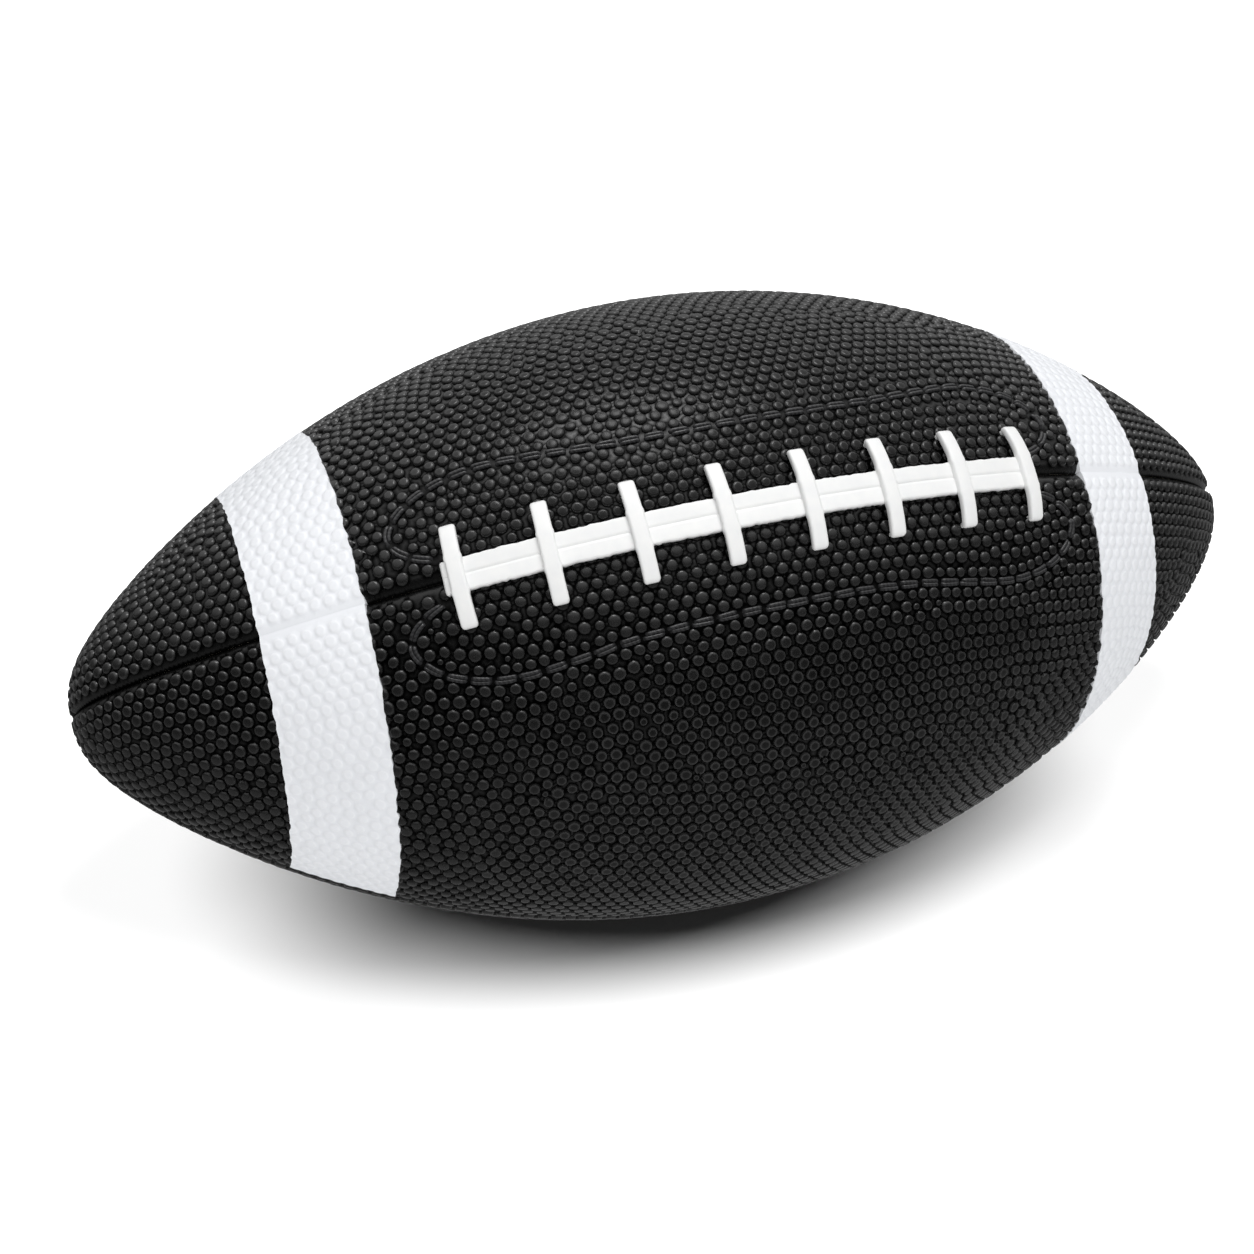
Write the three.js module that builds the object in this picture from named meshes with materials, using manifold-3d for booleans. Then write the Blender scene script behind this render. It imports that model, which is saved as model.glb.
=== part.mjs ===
// American football: four rubber cover panels over a thread-wound carcass and an air bladder,
// with white stripes, a lacing of one long spine and cross laces, and an inflation valve.
// Millimetres, +Z up. The long axis is X, the laces lean to the front (-Y) and the ball rests on z = 0.
import * as THREE from "three";
import { mergeVertices } from "three/addons/utils/BufferGeometryUtils.js";
import Module from "manifold-3d";

// Ball: overall size, and the pure numbers that shape its outline
const BALL_LENGTH = 280;
const BALL_DIAMETER = 142;
const TIP_POWER = 0.4; // below one half the tips are blunt, above it they are pointed
const SHOULDER_TAPER = 0.35;
const TIP_TAPER = 0.11;

// How the ball lies: the laces lean from the top towards the front, in degrees
const LACE_LEAN = 42;
const REST_FLAT_DEPTH = 0.6;

// Layers, from the outside in, and the gap between pieces that touch on the real ball
const COVER_THICKNESS = 2.8;
const WINDING_THICKNESS = 0.9;
const BLADDER_THICKNESS = 1.1;
const FIT_GAP = 0.3;

// Seams: smooth valleys between the panels, which fade out at the tips
const SEAM_VALLEY_WIDTH = 4.8;
const SEAM_VALLEY_DEPTH = 0.9;
const VALLEY_FADE_RADIUS = 12;

// Stripes: bands let into the lacing panels, placed from the tips along the long axis
const STRIPE_TIP_DISTANCE = 39;
const STRIPE_WIDTH = 20.5;
const STRIPE_THICKNESS = 0.4;

// Cross laces: staples that bridge the spine and pass through the cover
const CROSS_LACE_COUNT = 8;
const CROSS_LACE_SPACING = 17.8;
const CROSS_LACE_LENGTH = 21.4;
const CROSS_LACE_WIDTH = 3.4;
const CROSS_LACE_THICKNESS = 1.8;
const CROSS_LACE_EDGE = 0.5; // bevel along its edges
const CROSS_LACE_SHOULDER = 0.3; // height over the cover at which a leg starts to bend
const CROSS_LACE_CROWN = 0.75; // pure number: how square the bend is
const CROSS_LACE_REACH = 0.6; // pure number: how far the top runs flat

// Lace spine: the long strip under the cross laces, with a groove along its middle
const SPINE_WIDTH = 6.9;
const SPINE_THICKNESS = 1.4;
const SPINE_EDGE = 0.5; // rounding of its upper edges
const SPINE_OVERHANG = 3.2; // past the middle of the outermost cross lace
const SPINE_GROOVE_WIDTH = 0.8;
const SPINE_GROOVE_DEPTH = 0.4;

// Lace backing: the waisted patch that is sewn inside the cover under the lacing
const BACKING_THICKNESS = 0.8;
const BACKING_LENGTH = 155;
const BACKING_NOTCH_LENGTH = 142; // between the dents at its two ends
const BACKING_END_WIDTH = 24;
const BACKING_LOBE_WIDTH = 54;
const BACKING_LOBE_DISTANCE = 106; // between the widest places
const BACKING_WAIST_WIDTH = 49;

// Valve: in the middle of the rear plain panel, at an angle from the lace seam in degrees
const VALVE_ANGLE = 225;
const VALVE_STEM_DIAMETER = 8;
const VALVE_SINK = 0.4; // of the stem's end below the cover
const VALVE_FLANGE_DIAMETER = 22;
const VALVE_FLANGE_DEPTH = 2.4;
const PLUG_HEAD_DIAMETER = 4.6;
const PLUG_HEAD_THICKNESS = 1.2;
const PLUG_STEM_DIAMETER = 3;
const PLUG_LENGTH = 7.5;
const NEEDLE_CHANNEL_DIAMETER = 1;

// Fineness of the meshes
const STATIONS = 22; // along the ball
const COVER_COLUMNS = 8; // across one panel, outside
const LINING_COLUMNS = 6; // across one panel, inside
const VALLEY_STEP_SHARE = 0.8; // of one column, the most that a valley's side takes up
const VALLEY_HALFWAY_DROP = 0.56; // of the valley's depth, half way up its side
const LACE_CURVE_STEPS = 5;
const SPINE_STEPS = 24;
const SPINE_CURVE_STEPS = 2;
const BACKING_STEPS = 40;
const ROUND_SIDES = 24;
const SLOPE_STEP = 0.01;
const WELD_DISTANCE = 1e-4;

// Finishes of the materials
const BLACK_RUBBER = { color: 0x1c1c1d, roughness: 0.55, metalness: 0 };
const WHITE_RUBBER = { color: 0xeeeeec, roughness: 0.6, metalness: 0 };
const WHITE_VINYL = { color: 0xf6f6f4, roughness: 0.5, metalness: 0 };
const BUTYL_RUBBER = { color: 0x141415, roughness: 0.5, metalness: 0 };
const VALVE_RUBBER = { color: 0x262627, roughness: 0.6, metalness: 0 };
const NYLON_THREAD = { color: 0xb9b2a0, roughness: 0.8, metalness: 0 };
const CANVAS = { color: 0x4a4743, roughness: 0.9, metalness: 0 };

// Sizes that follow from those above
const BALL_RADIUS = BALL_DIAMETER / 2;
const FULL_TURN = 2 * Math.PI;
const PANEL_COUNT = 4;
const QUARTER = FULL_TURN / PANEL_COUNT;
const WINDING_INSET = COVER_THICKNESS + FIT_GAP;
const BLADDER_INSET = WINDING_INSET + WINDING_THICKNESS + FIT_GAP;
const CAVITY_INSET = BLADDER_INSET + BLADDER_THICKNESS;
const REST_HEIGHT = BALL_RADIUS - REST_FLAT_DEPTH;
const STRIPE_BED = STRIPE_THICKNESS + FIT_GAP;
const BACKING_INSET = COVER_THICKNESS - BACKING_THICKNESS;
const SPINE_TOP = FIT_GAP + SPINE_THICKNESS;
const CROSS_LACE_TOP = SPINE_TOP + FIT_GAP + CROSS_LACE_THICKNESS;
const LACE_HOLE_DISTANCE = (CROSS_LACE_LENGTH - CROSS_LACE_THICKNESS) / 2;
const LACING_LENGTH = (CROSS_LACE_COUNT - 1) * CROSS_LACE_SPACING;
const VALVE_END = BALL_RADIUS - VALVE_SINK;

const wasm = await Module();
wasm.setup();

// Turns a closed geometry into a solid that can be cut and joined.
function solidOf(geometry) {
  const bare = geometry.clone();
  bare.deleteAttribute("normal");
  bare.deleteAttribute("uv");
  const welded = mergeVertices(bare, WELD_DISTANCE);
  const vertProperties = new Float32Array(welded.attributes.position.array);
  const triVerts = new Uint32Array(welded.index.array);
  return new wasm.Manifold(new wasm.Mesh({ numProp: 3, vertProperties, triVerts }));
}

// Turns a solid back into a geometry.
function geometryOf(solid) {
  const mesh = solid.getMesh();
  const geometry = new THREE.BufferGeometry();
  geometry.setAttribute("position", new THREE.BufferAttribute(mesh.vertProperties, mesh.numProp));
  geometry.setIndex(new THREE.BufferAttribute(mesh.triVerts, 1));
  geometry.computeVertexNormals();
  return geometry;
}

// Radius of the ball's outline at x, for the surface that lies inset below the outside.
function profileRadius(x, inset) {
  const share = (x / (BALL_LENGTH / 2 - inset)) ** 2;
  const taper = 1 - SHOULDER_TAPER * share - TIP_TAPER * share ** 2;
  return (BALL_RADIUS - inset) * Math.max(1 - share, 0) ** TIP_POWER * taper;
}

// Turn about Y that lays a piece on the outline at x, with its own +Z along the outward normal.
function profileTilt(x) {
  const rise = profileRadius(x + SLOPE_STEP, 0) - profileRadius(x - SLOPE_STEP, 0);
  return Math.atan2(-rise, 2 * SLOPE_STEP);
}

// Points round the cover's outside: an angle from the lace seam and a drop into the seam valley.
function coverRing(radius) {
  const column = QUARTER / COVER_COLUMNS;
  const side = Math.min(SEAM_VALLEY_WIDTH / 2 / radius, VALLEY_STEP_SHARE * column);
  const depth = SEAM_VALLEY_DEPTH * Math.min(radius / VALLEY_FADE_RADIUS, 1);
  const ring = [];
  for (let panel = 0; panel < PANEL_COUNT; panel += 1) {
    const seam = panel * QUARTER;
    ring.push({ angle: seam, drop: depth });
    ring.push({ angle: seam + side / 2, drop: VALLEY_HALFWAY_DROP * depth });
    ring.push({ angle: seam + side, drop: 0 });
    for (let i = 1; i < COVER_COLUMNS; i += 1) {
      ring.push({ angle: seam + i * column, drop: 0 });
    }
    ring.push({ angle: seam + QUARTER - side, drop: 0 });
    ring.push({ angle: seam + QUARTER - side / 2, drop: VALLEY_HALFWAY_DROP * depth });
  }
  return ring;
}

// Points round the plain inner layers.
function liningRing() {
  const count = PANEL_COUNT * LINING_COLUMNS;
  return Array.from({ length: count }, (_, i) => ({ angle: (FULL_TURN * i) / count, drop: 0 }));
}

// The whole ball as a filled solid whose surface lies inset below the outside.
function ballSolid(inset, ringOf) {
  const half = BALL_LENGTH / 2 - inset;
  const positions = [-half, 0, 0];
  for (let i = 1; i < STATIONS; i += 1) {
    const x = -half * Math.cos((Math.PI * i) / STATIONS);
    const radius = profileRadius(x, inset);
    for (const { angle, drop } of ringOf(radius)) {
      positions.push(x, -(radius - drop) * Math.sin(angle), (radius - drop) * Math.cos(angle));
    }
  }
  positions.push(half, 0, 0);
  const count = ringOf(BALL_RADIUS).length;
  const lastTip = 1 + (STATIONS - 1) * count;
  const at = (ring, column) => 1 + ring * count + (column % count);
  const indices = [];
  for (let j = 0; j < count; j += 1) {
    indices.push(0, at(0, j + 1), at(0, j));
    for (let ring = 0; ring < STATIONS - 2; ring += 1) {
      indices.push(at(ring, j), at(ring, j + 1), at(ring + 1, j));
      indices.push(at(ring + 1, j), at(ring, j + 1), at(ring + 1, j + 1));
    }
    indices.push(lastTip, at(STATIONS - 2, j), at(STATIONS - 2, j + 1));
  }
  const geometry = new THREE.BufferGeometry();
  geometry.setAttribute("position", new THREE.Float32BufferAttribute(positions, 3));
  geometry.setIndex(indices);
  return solidOf(geometry);
}

// A box that holds one quarter of the ball, half a gap away from both seam planes.
function quarterBox(ySign, zSign) {
  const box = new THREE.BoxGeometry(2 * BALL_LENGTH, BALL_DIAMETER, BALL_DIAMETER);
  const middle = (BALL_DIAMETER + FIT_GAP) / 2;
  return solidOf(box.translate(0, ySign * middle, zSign * middle));
}

// A slab across the ball at one stripe, wider or narrower than it by a margin on each side.
function stripeSlab(xSign, margin) {
  const box = new THREE.BoxGeometry(STRIPE_WIDTH + 2 * margin, 2 * BALL_DIAMETER, 2 * BALL_DIAMETER);
  const middle = BALL_LENGTH / 2 - STRIPE_TIP_DISTANCE - STRIPE_WIDTH / 2;
  return solidOf(box.translate(xSign * middle, 0, 0));
}

// Where a cross lace sits: on the outline at x, upright on the surface.
function lacePlace(x) {
  const turn = new THREE.Matrix4().makeRotationY(profileTilt(x));
  return turn.setPosition(x, 0, profileRadius(x, 0));
}

// How far the surface falls away at a lace hole, seen from the seam.
function holeDrop(x) {
  const radius = profileRadius(x, 0);
  return radius - Math.sqrt(radius ** 2 - LACE_HOLE_DISTANCE ** 2);
}

// Side view of a cross lace: two legs and an arched bar, drawn in y and z.
function crossLaceShape(x) {
  const foot = -COVER_THICKNESS - holeDrop(x);
  const outer = CROSS_LACE_LENGTH / 2;
  const inner = outer - CROSS_LACE_THICKNESS;
  const top = CROSS_LACE_TOP;
  const under = CROSS_LACE_TOP - CROSS_LACE_THICKNESS;
  const shoulder = CROSS_LACE_SHOULDER;
  const shape = new THREE.Shape();
  shape.moveTo(-outer, foot);
  shape.lineTo(-inner, foot);
  shape.lineTo(-inner, shoulder);
  shape.bezierCurveTo(-inner, CROSS_LACE_CROWN * under, -CROSS_LACE_REACH * inner, under, 0, under);
  shape.bezierCurveTo(CROSS_LACE_REACH * inner, under, inner, CROSS_LACE_CROWN * under, inner, shoulder);
  shape.lineTo(inner, foot);
  shape.lineTo(outer, foot);
  shape.lineTo(outer, shoulder);
  shape.bezierCurveTo(outer, CROSS_LACE_CROWN * top, CROSS_LACE_REACH * outer, top, 0, top);
  shape.bezierCurveTo(-CROSS_LACE_REACH * outer, top, -outer, CROSS_LACE_CROWN * top, -outer, shoulder);
  return shape;
}

// A cross lace in its own place: its side view given its width, with its edges taken off.
function crossLace(x) {
  const lace = new THREE.ExtrudeGeometry(crossLaceShape(x), {
    depth: CROSS_LACE_WIDTH - 2 * CROSS_LACE_EDGE,
    curveSegments: LACE_CURVE_STEPS,
    bevelThickness: CROSS_LACE_EDGE,
    bevelSize: CROSS_LACE_EDGE,
    bevelOffset: -CROSS_LACE_EDGE,
    bevelSegments: 1,
  });
  lace.translate(0, 0, CROSS_LACE_EDGE - CROSS_LACE_WIDTH / 2);
  const across = new THREE.Vector3(0, 1, 0);
  const up = new THREE.Vector3(0, 0, 1);
  const along = new THREE.Vector3(1, 0, 0);
  return lace.applyMatrix4(new THREE.Matrix4().makeBasis(across, up, along));
}

// The two holes of one cross lace, through the cover and the backing.
function laceHoles(x) {
  const holes = [-1, 1].map((side) => {
    const wide = CROSS_LACE_WIDTH + 2 * FIT_GAP;
    const thick = CROSS_LACE_THICKNESS + 2 * FIT_GAP;
    const hole = new THREE.BoxGeometry(wide, thick, 4 * COVER_THICKNESS);
    hole.translate(0, side * LACE_HOLE_DISTANCE, 0);
    return solidOf(hole.applyMatrix4(lacePlace(x)));
  });
  return holes[0].add(holes[1]);
}

// Section of the lace spine. Its own y points into the ball, so the groove is at its low edge.
function spineSection() {
  const half = SPINE_WIDTH / 2;
  const deep = SPINE_THICKNESS / 2;
  const shape = new THREE.Shape();
  shape.moveTo(-half, deep);
  shape.lineTo(-half, SPINE_EDGE - deep);
  shape.quadraticCurveTo(-half, -deep, SPINE_EDGE - half, -deep);
  shape.lineTo(-SPINE_GROOVE_WIDTH / 2, -deep);
  shape.lineTo(0, SPINE_GROOVE_DEPTH - deep);
  shape.lineTo(SPINE_GROOVE_WIDTH / 2, -deep);
  shape.lineTo(half - SPINE_EDGE, -deep);
  shape.quadraticCurveTo(half, -deep, half, SPINE_EDGE - deep);
  shape.lineTo(half, deep);
  return shape;
}

// The lace spine, swept along the outline over the lace seam.
function laceSpine() {
  const reach = LACING_LENGTH / 2 + SPINE_OVERHANG;
  const lift = FIT_GAP + SPINE_THICKNESS / 2;
  const points = Array.from({ length: SPINE_STEPS + 1 }, (_, i) => {
    const x = reach * ((2 * i) / SPINE_STEPS - 1);
    const tilt = profileTilt(x);
    return new THREE.Vector3(x + lift * Math.sin(tilt), 0, profileRadius(x, 0) + lift * Math.cos(tilt));
  });
  return new THREE.ExtrudeGeometry(spineSection(), {
    steps: SPINE_STEPS,
    curveSegments: SPINE_CURVE_STEPS,
    extrudePath: new THREE.CatmullRomCurve3(points),
  });
}

// A prism over the waisted outline of the lace backing, grown by a margin.
function backingPrism(margin) {
  const notch = BACKING_NOTCH_LENGTH / 2 + margin;
  const end = BACKING_LENGTH / 2 + margin;
  const endHalf = BACKING_END_WIDTH / 2 + margin;
  const lobeAt = BACKING_LOBE_DISTANCE / 2;
  const lobe = BACKING_LOBE_WIDTH / 2 + margin;
  const waist = BACKING_WAIST_WIDTH / 2 + margin;
  const rightSide = [[notch, 0], [end, endHalf], [lobeAt, lobe]];
  const leftSide = [[0, waist], [-lobeAt, lobe], [-end, endHalf]];
  const upperHalf = rightSide.concat(leftSide);
  const corners = upperHalf.concat(upperHalf.map(([x, y]) => [-x, -y]));
  const curve = new THREE.CatmullRomCurve3(corners.map(([x, y]) => new THREE.Vector3(x, y, 0)), true);
  const outline = new THREE.Shape(curve.getPoints(BACKING_STEPS).slice(1));
  return solidOf(new THREE.ExtrudeGeometry(outline, { depth: BALL_DIAMETER, bevelEnabled: false }));
}

// A round bar along the valve's axis, between two distances from the ball's middle.
function valveBar(diameter, from, to) {
  const bar = new THREE.CylinderGeometry(diameter / 2, diameter / 2, to - from, ROUND_SIDES);
  bar.translate(0, (from + to) / 2, 0);
  return solidOf(bar.rotateX(THREE.MathUtils.degToRad(VALVE_ANGLE) + QUARTER));
}

// Valve body: a stem through all layers, and a flange that lies against the bladder from inside.
function valveBody() {
  const flangeFrom = BALL_RADIUS - CAVITY_INSET - FIT_GAP - VALVE_FLANGE_DEPTH;
  const flange = valveBar(VALVE_FLANGE_DIAMETER, flangeFrom, VALVE_END);
  const seat = flange.intersect(ballSolid(CAVITY_INSET + FIT_GAP, liningRing));
  const stem = valveBar(VALVE_STEM_DIAMETER, flangeFrom, VALVE_END);
  const bore = valveBar(PLUG_STEM_DIAMETER + 2 * FIT_GAP, flangeFrom - BALL_RADIUS / 2, BALL_RADIUS);
  const headFrom = VALVE_END - PLUG_HEAD_THICKNESS - FIT_GAP;
  const headSeat = valveBar(PLUG_HEAD_DIAMETER + 2 * FIT_GAP, headFrom, BALL_RADIUS);
  return seat.add(stem).subtract(bore).subtract(headSeat);
}

// Valve plug: a headed rubber core with a channel for the inflation needle.
function valvePlug() {
  const head = valveBar(PLUG_HEAD_DIAMETER, VALVE_END - PLUG_HEAD_THICKNESS, VALVE_END);
  const stem = valveBar(PLUG_STEM_DIAMETER, VALVE_END - PLUG_LENGTH, VALVE_END);
  const channel = valveBar(NEEDLE_CHANNEL_DIAMETER, VALVE_END - BALL_RADIUS / 2, BALL_RADIUS);
  return head.add(stem).subtract(channel);
}

// A box below the surface that the ball rests on, in the ball's own turned frame.
function groundBox() {
  const box = new THREE.BoxGeometry(BALL_LENGTH, BALL_DIAMETER, BALL_DIAMETER);
  box.translate(0, 0, -REST_HEIGHT - BALL_DIAMETER / 2);
  return solidOf(box.rotateX(-THREE.MathUtils.degToRad(LACE_LEAN)));
}

const ball = new THREE.Group();
ball.rotation.x = THREE.MathUtils.degToRad(LACE_LEAN);
ball.position.z = REST_HEIGHT;

// Hangs a geometry in the ball as a named piece with its own material, and returns it.
function addPiece(name, geometry, finish) {
  const piece = new THREE.Mesh(geometry, new THREE.MeshStandardMaterial(finish));
  piece.name = name;
  ball.add(piece);
  return piece;
}

// Inner layers, both open at the valve
const valveHole = valveBar(VALVE_STEM_DIAMETER + 2 * FIT_GAP, 0, BALL_DIAMETER);
const cavity = ballSolid(CAVITY_INSET, liningRing);
const bladder = ballSolid(BLADDER_INSET, liningRing).subtract(cavity).subtract(valveHole);
const windingBed = ballSolid(WINDING_INSET + WINDING_THICKNESS, liningRing);
const winding = ballSolid(WINDING_INSET, liningRing).subtract(windingBed).subtract(valveHole);
addPiece("bladder", geometryOf(bladder), BUTYL_RUBBER);
addPiece("winding", geometryOf(winding), NYLON_THREAD);
addPiece("valve_body", geometryOf(valveBody()), VALVE_RUBBER);
addPiece("valve_plug", geometryOf(valvePlug()), BUTYL_RUBBER);

// Cover: one shell, parted along the seam planes into four panels
const coverOutside = ballSolid(0, coverRing);
const coverInside = ballSolid(COVER_THICKNESS, liningRing);
const cover = coverOutside.subtract(coverInside);
const laceXs = Array.from({ length: CROSS_LACE_COUNT }, (_, i) => {
  return i * CROSS_LACE_SPACING - LACING_LENGTH / 2;
});
const allLaceHoles = laceXs.map(laceHoles).reduce((joined, holes) => joined.add(holes));
const backingBed = backingPrism(FIT_GAP).intersect(ballSolid(BACKING_INSET - FIT_GAP, liningRing));
const stripeFloor = ballSolid(STRIPE_BED, coverRing);
const stripeBeds = stripeSlab(-1, FIT_GAP).add(stripeSlab(1, FIT_GAP)).subtract(stripeFloor);
const stripeLayer = coverOutside.subtract(ballSolid(STRIPE_THICKNESS, coverRing));

const lacingCuts = allLaceHoles.add(backingBed).add(stripeBeds);
for (const [side, ySign] of [["front", -1], ["rear", 1]]) {
  const laced = cover.intersect(quarterBox(ySign, 1)).subtract(lacingCuts);
  addPiece(`lacing_panel_${side}`, geometryOf(laced), BLACK_RUBBER);
  const plainCut = ySign < 0 ? groundBox() : valveHole;
  const plain = cover.intersect(quarterBox(ySign, -1)).subtract(plainCut);
  addPiece(`plain_panel_${side}`, geometryOf(plain), BLACK_RUBBER);
  for (const [end, xSign] of [["left", -1], ["right", 1]]) {
    const band = stripeLayer.intersect(stripeSlab(xSign, 0)).intersect(quarterBox(ySign, 1));
    addPiece(`stripe_${end}_${side}`, geometryOf(band), WHITE_RUBBER);
  }
}

// Lacing: the backing inside the cover, the spine on the seam and the cross laces over it
const backingLayer = ballSolid(BACKING_INSET, liningRing).subtract(coverInside);
const backing = backingLayer.intersect(backingPrism(0)).subtract(allLaceHoles);
addPiece("lace_backing", geometryOf(backing), CANVAS);
addPiece("lace_spine", laceSpine(), WHITE_VINYL);
laceXs.forEach((x, i) => {
  const lace = addPiece(`cross_lace_${i + 1}`, crossLace(x), WHITE_VINYL);
  lace.applyMatrix4(lacePlace(x));
});

const football = new THREE.Group();
football.add(ball);

export default football;
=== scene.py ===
"""Looks of a laced american football of pebbled black rubber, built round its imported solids.

Metres, +Z up. The long axis is X. A place on the ball is given by its arc, which is the distance along the
outline from the ball's middle, and by its angle round the long axis, from the lace seam towards the front.
"""

import logging
import math
from dataclasses import dataclass, field
from enum import Enum

import bpy
import numpy as np
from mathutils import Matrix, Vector, geometry, kdtree


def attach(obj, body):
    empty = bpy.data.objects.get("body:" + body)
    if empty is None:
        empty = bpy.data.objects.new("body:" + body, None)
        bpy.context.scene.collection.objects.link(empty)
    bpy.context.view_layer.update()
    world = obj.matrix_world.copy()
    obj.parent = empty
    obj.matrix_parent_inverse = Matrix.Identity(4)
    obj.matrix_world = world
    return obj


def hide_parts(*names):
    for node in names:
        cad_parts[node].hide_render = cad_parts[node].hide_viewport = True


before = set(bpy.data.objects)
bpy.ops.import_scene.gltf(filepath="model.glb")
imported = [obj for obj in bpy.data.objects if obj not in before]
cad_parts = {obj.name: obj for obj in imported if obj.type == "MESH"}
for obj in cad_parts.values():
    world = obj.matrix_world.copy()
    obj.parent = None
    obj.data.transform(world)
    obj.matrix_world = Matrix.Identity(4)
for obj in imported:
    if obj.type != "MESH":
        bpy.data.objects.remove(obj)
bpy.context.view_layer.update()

MM = 0.001
FULL_TURN = 2 * math.pi
QUARTER = FULL_TURN / 4
SEED = 1107
BODY = "root"

log = logging.getLogger("football")

Array = np.ndarray
Colour = tuple[float, float, float, float]
Socket = bpy.types.NodeSocket
Settings = dict[str | int, object]
Links = dict[str | int, Socket]

# Blender's noise stays between these for the most part
NOISE_RANGE: Settings = {"From Min": 0.3, "From Max": 0.7}
# Lengths below this count as nothing
TINY = 1e-9


# Shared helpers


def linear_colour(code: str) -> Colour:
    """Turns an sRGB hex colour into linear values.

    Args:
        code: Six hex digits, red first.

    Returns:
        Linear red, green and blue, with full alpha.
    """
    shares = [int(code[i:i + 2], 16) / 255 for i in (0, 2, 4)]
    red, green, blue = (s / 12.92 if s <= 0.04045 else ((s + 0.055) / 1.055) ** 2.4 for s in shares)
    return red, green, blue, 1.0


def add_node(
    tree: bpy.types.NodeTree,
    kind: str,
    settings: Settings | None = None,
    links: Links | None = None,
    output: str | int = 0,
) -> Socket | None:
    """Adds a node with its settings and links.

    Args:
        tree: The node tree to add to.
        kind: Blender's name for the kind of node.
        settings: Values by input name, input number or property name.
        links: Sockets to link from, by input name or number.
        output: Name or number of the socket that is wanted.

    Returns:
        That socket, or none if the node ends the tree.
    """
    node = tree.nodes.new(kind)
    for name, value in (settings or {}).items():
        if isinstance(name, int) or name in node.inputs:
            node.inputs[name].default_value = value
        else:
            setattr(node, name, value)
    for name, socket in (links or {}).items():
        tree.links.new(socket, node.inputs[name])
    return node.outputs[output] if node.outputs else None


def make_piece(
    name: str,
    points: Array,
    faces: list[list[int]],
    material: bpy.types.Material,
    stands_for: str = "",
    slot: str = "",
    sharp_angle: float = 60,
    **values: Array,
) -> None:
    """Makes a smooth-shaded mesh object that rides on the ball.

    Args:
        name: The piece's name.
        points: One row of x, y and z for each vertex.
        faces: Vertex numbers of each face.
        material: The finish it gets.
        stands_for: The solid that it replaces, if any.
        slot: Not used.
        sharp_angle: Degrees between two faces from which their edge stays sharp.
        values: Named numbers, one for each vertex, that the finish reads.
    """
    mesh = bpy.data.meshes.new(name)
    mesh.from_pydata(points.tolist(), [], faces)
    for label, numbers in values.items():
        attribute = mesh.attributes.new(label, "FLOAT", "POINT")
        attribute.data.foreach_set("value", np.ascontiguousarray(numbers, np.float32))
    mesh.shade_smooth()
    mesh.set_sharp_from_angle(angle=math.radians(sharp_angle))
    mesh.materials.append(material)
    piece = bpy.data.objects.new(name, mesh)
    bpy.context.scene.collection.objects.link(piece)
    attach(piece, BODY)
    if stands_for:
        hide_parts(stands_for)
    log.info("%s: %d faces", name, len(faces))


def linked(numbers: list[int]) -> list[list[int]]:
    """Lists the edges from each vertex to the next, and from the last one back to the first."""
    return np.stack([numbers, np.roll(numbers, -1)], axis=1).tolist()


def tube_faces(rings: int, sides: int, first: int = 0, looped: bool = False) -> list[list[int]]:
    """Lists the faces of a closed tube whose vertices are numbered ring by ring.

    Args:
        rings: How many rings the tube has.
        sides: How many vertices each ring has.
        first: Number of the tube's first vertex.
        looped: Whether its last ring is joined to its first one.

    Returns:
        Quads along the tube, and one cap at each end if it isn't looped.
    """
    faces = []
    for ring in range(rings if looped else rings - 1):
        low, high = first + ring * sides, first + (ring + 1) % rings * sides
        for side in range(sides):
            after = (side + 1) % sides
            faces.append([low + side, low + after, high + after, high + side])
    if not looped:
        last = first + (rings - 1) * sides
        faces.append([first + side for side in reversed(range(sides))])
        faces.append([last + side for side in range(sides)])
    return faces


# Finishes


@dataclass(frozen=True)
class Finish:
    """A material that is built from nodes, named for what it is and how it was made.

    It mixes two tones by a pattern, and has a bump that is too fine to be modelled.
    """

    name: str
    hollow_colour: str
    raised_colour: str
    roughness: float
    specular: float = 0.5
    ior: float = 1.5
    bump_depth: float = 0.02 * MM
    bump_strength: float = 0.12

    def material(self) -> bpy.types.Material:
        """Builds the material.

        Returns:
            The new material.
        """
        material = bpy.data.materials.new(self.name)
        material.use_nodes = True
        tree = material.node_tree
        tree.nodes.clear()
        place = add_node(tree, "ShaderNodeTexCoord", output="Object")
        share, height = self.pattern(tree, place)
        hollow, raised = self.tones()
        tone = add_node(tree, "ShaderNodeMixRGB", {"Color1": hollow, "Color2": raised}, {"Fac": share})
        depth = {"Strength": self.bump_strength, "Distance": self.bump_depth}
        bump = add_node(tree, "ShaderNodeBump", depth, {"Height": height})
        links = {"Base Color": tone, "Normal": bump}
        self.vary(tree, place, share, height, links)
        surface = {"Roughness": self.roughness, "Specular IOR Level": self.specular, "IOR": self.ior}
        shader = add_node(tree, "ShaderNodeBsdfPrincipled", surface, links)
        add_node(tree, "ShaderNodeOutputMaterial", links={"Surface": shader})
        return material

    def tones(self) -> tuple[Colour, Colour]:
        """Gives the linear colours of the hollows and of the raised parts."""
        return linear_colour(self.hollow_colour), linear_colour(self.raised_colour)

    def pattern(self, tree: bpy.types.NodeTree, place: Socket) -> tuple[Socket, Socket]:
        """Adds the finish's own pattern.

        Args:
            tree: The material's node tree.
            place: The point on the piece, in metres.

        Returns:
            The share of the raised colour, and the height of the bump.
        """
        raise NotImplementedError

    def vary(
        self, tree: bpy.types.NodeTree, place: Socket, share: Socket, height: Socket, links: Links
    ) -> None:
        """Adds what else varies over the surface, which is nothing in most finishes.

        Args:
            tree: The material's node tree.
            place: The point on the piece, in metres.
            share: The share of the raised colour.
            height: The height of the bump.
            links: The shader's links, which it may change.
        """


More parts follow.
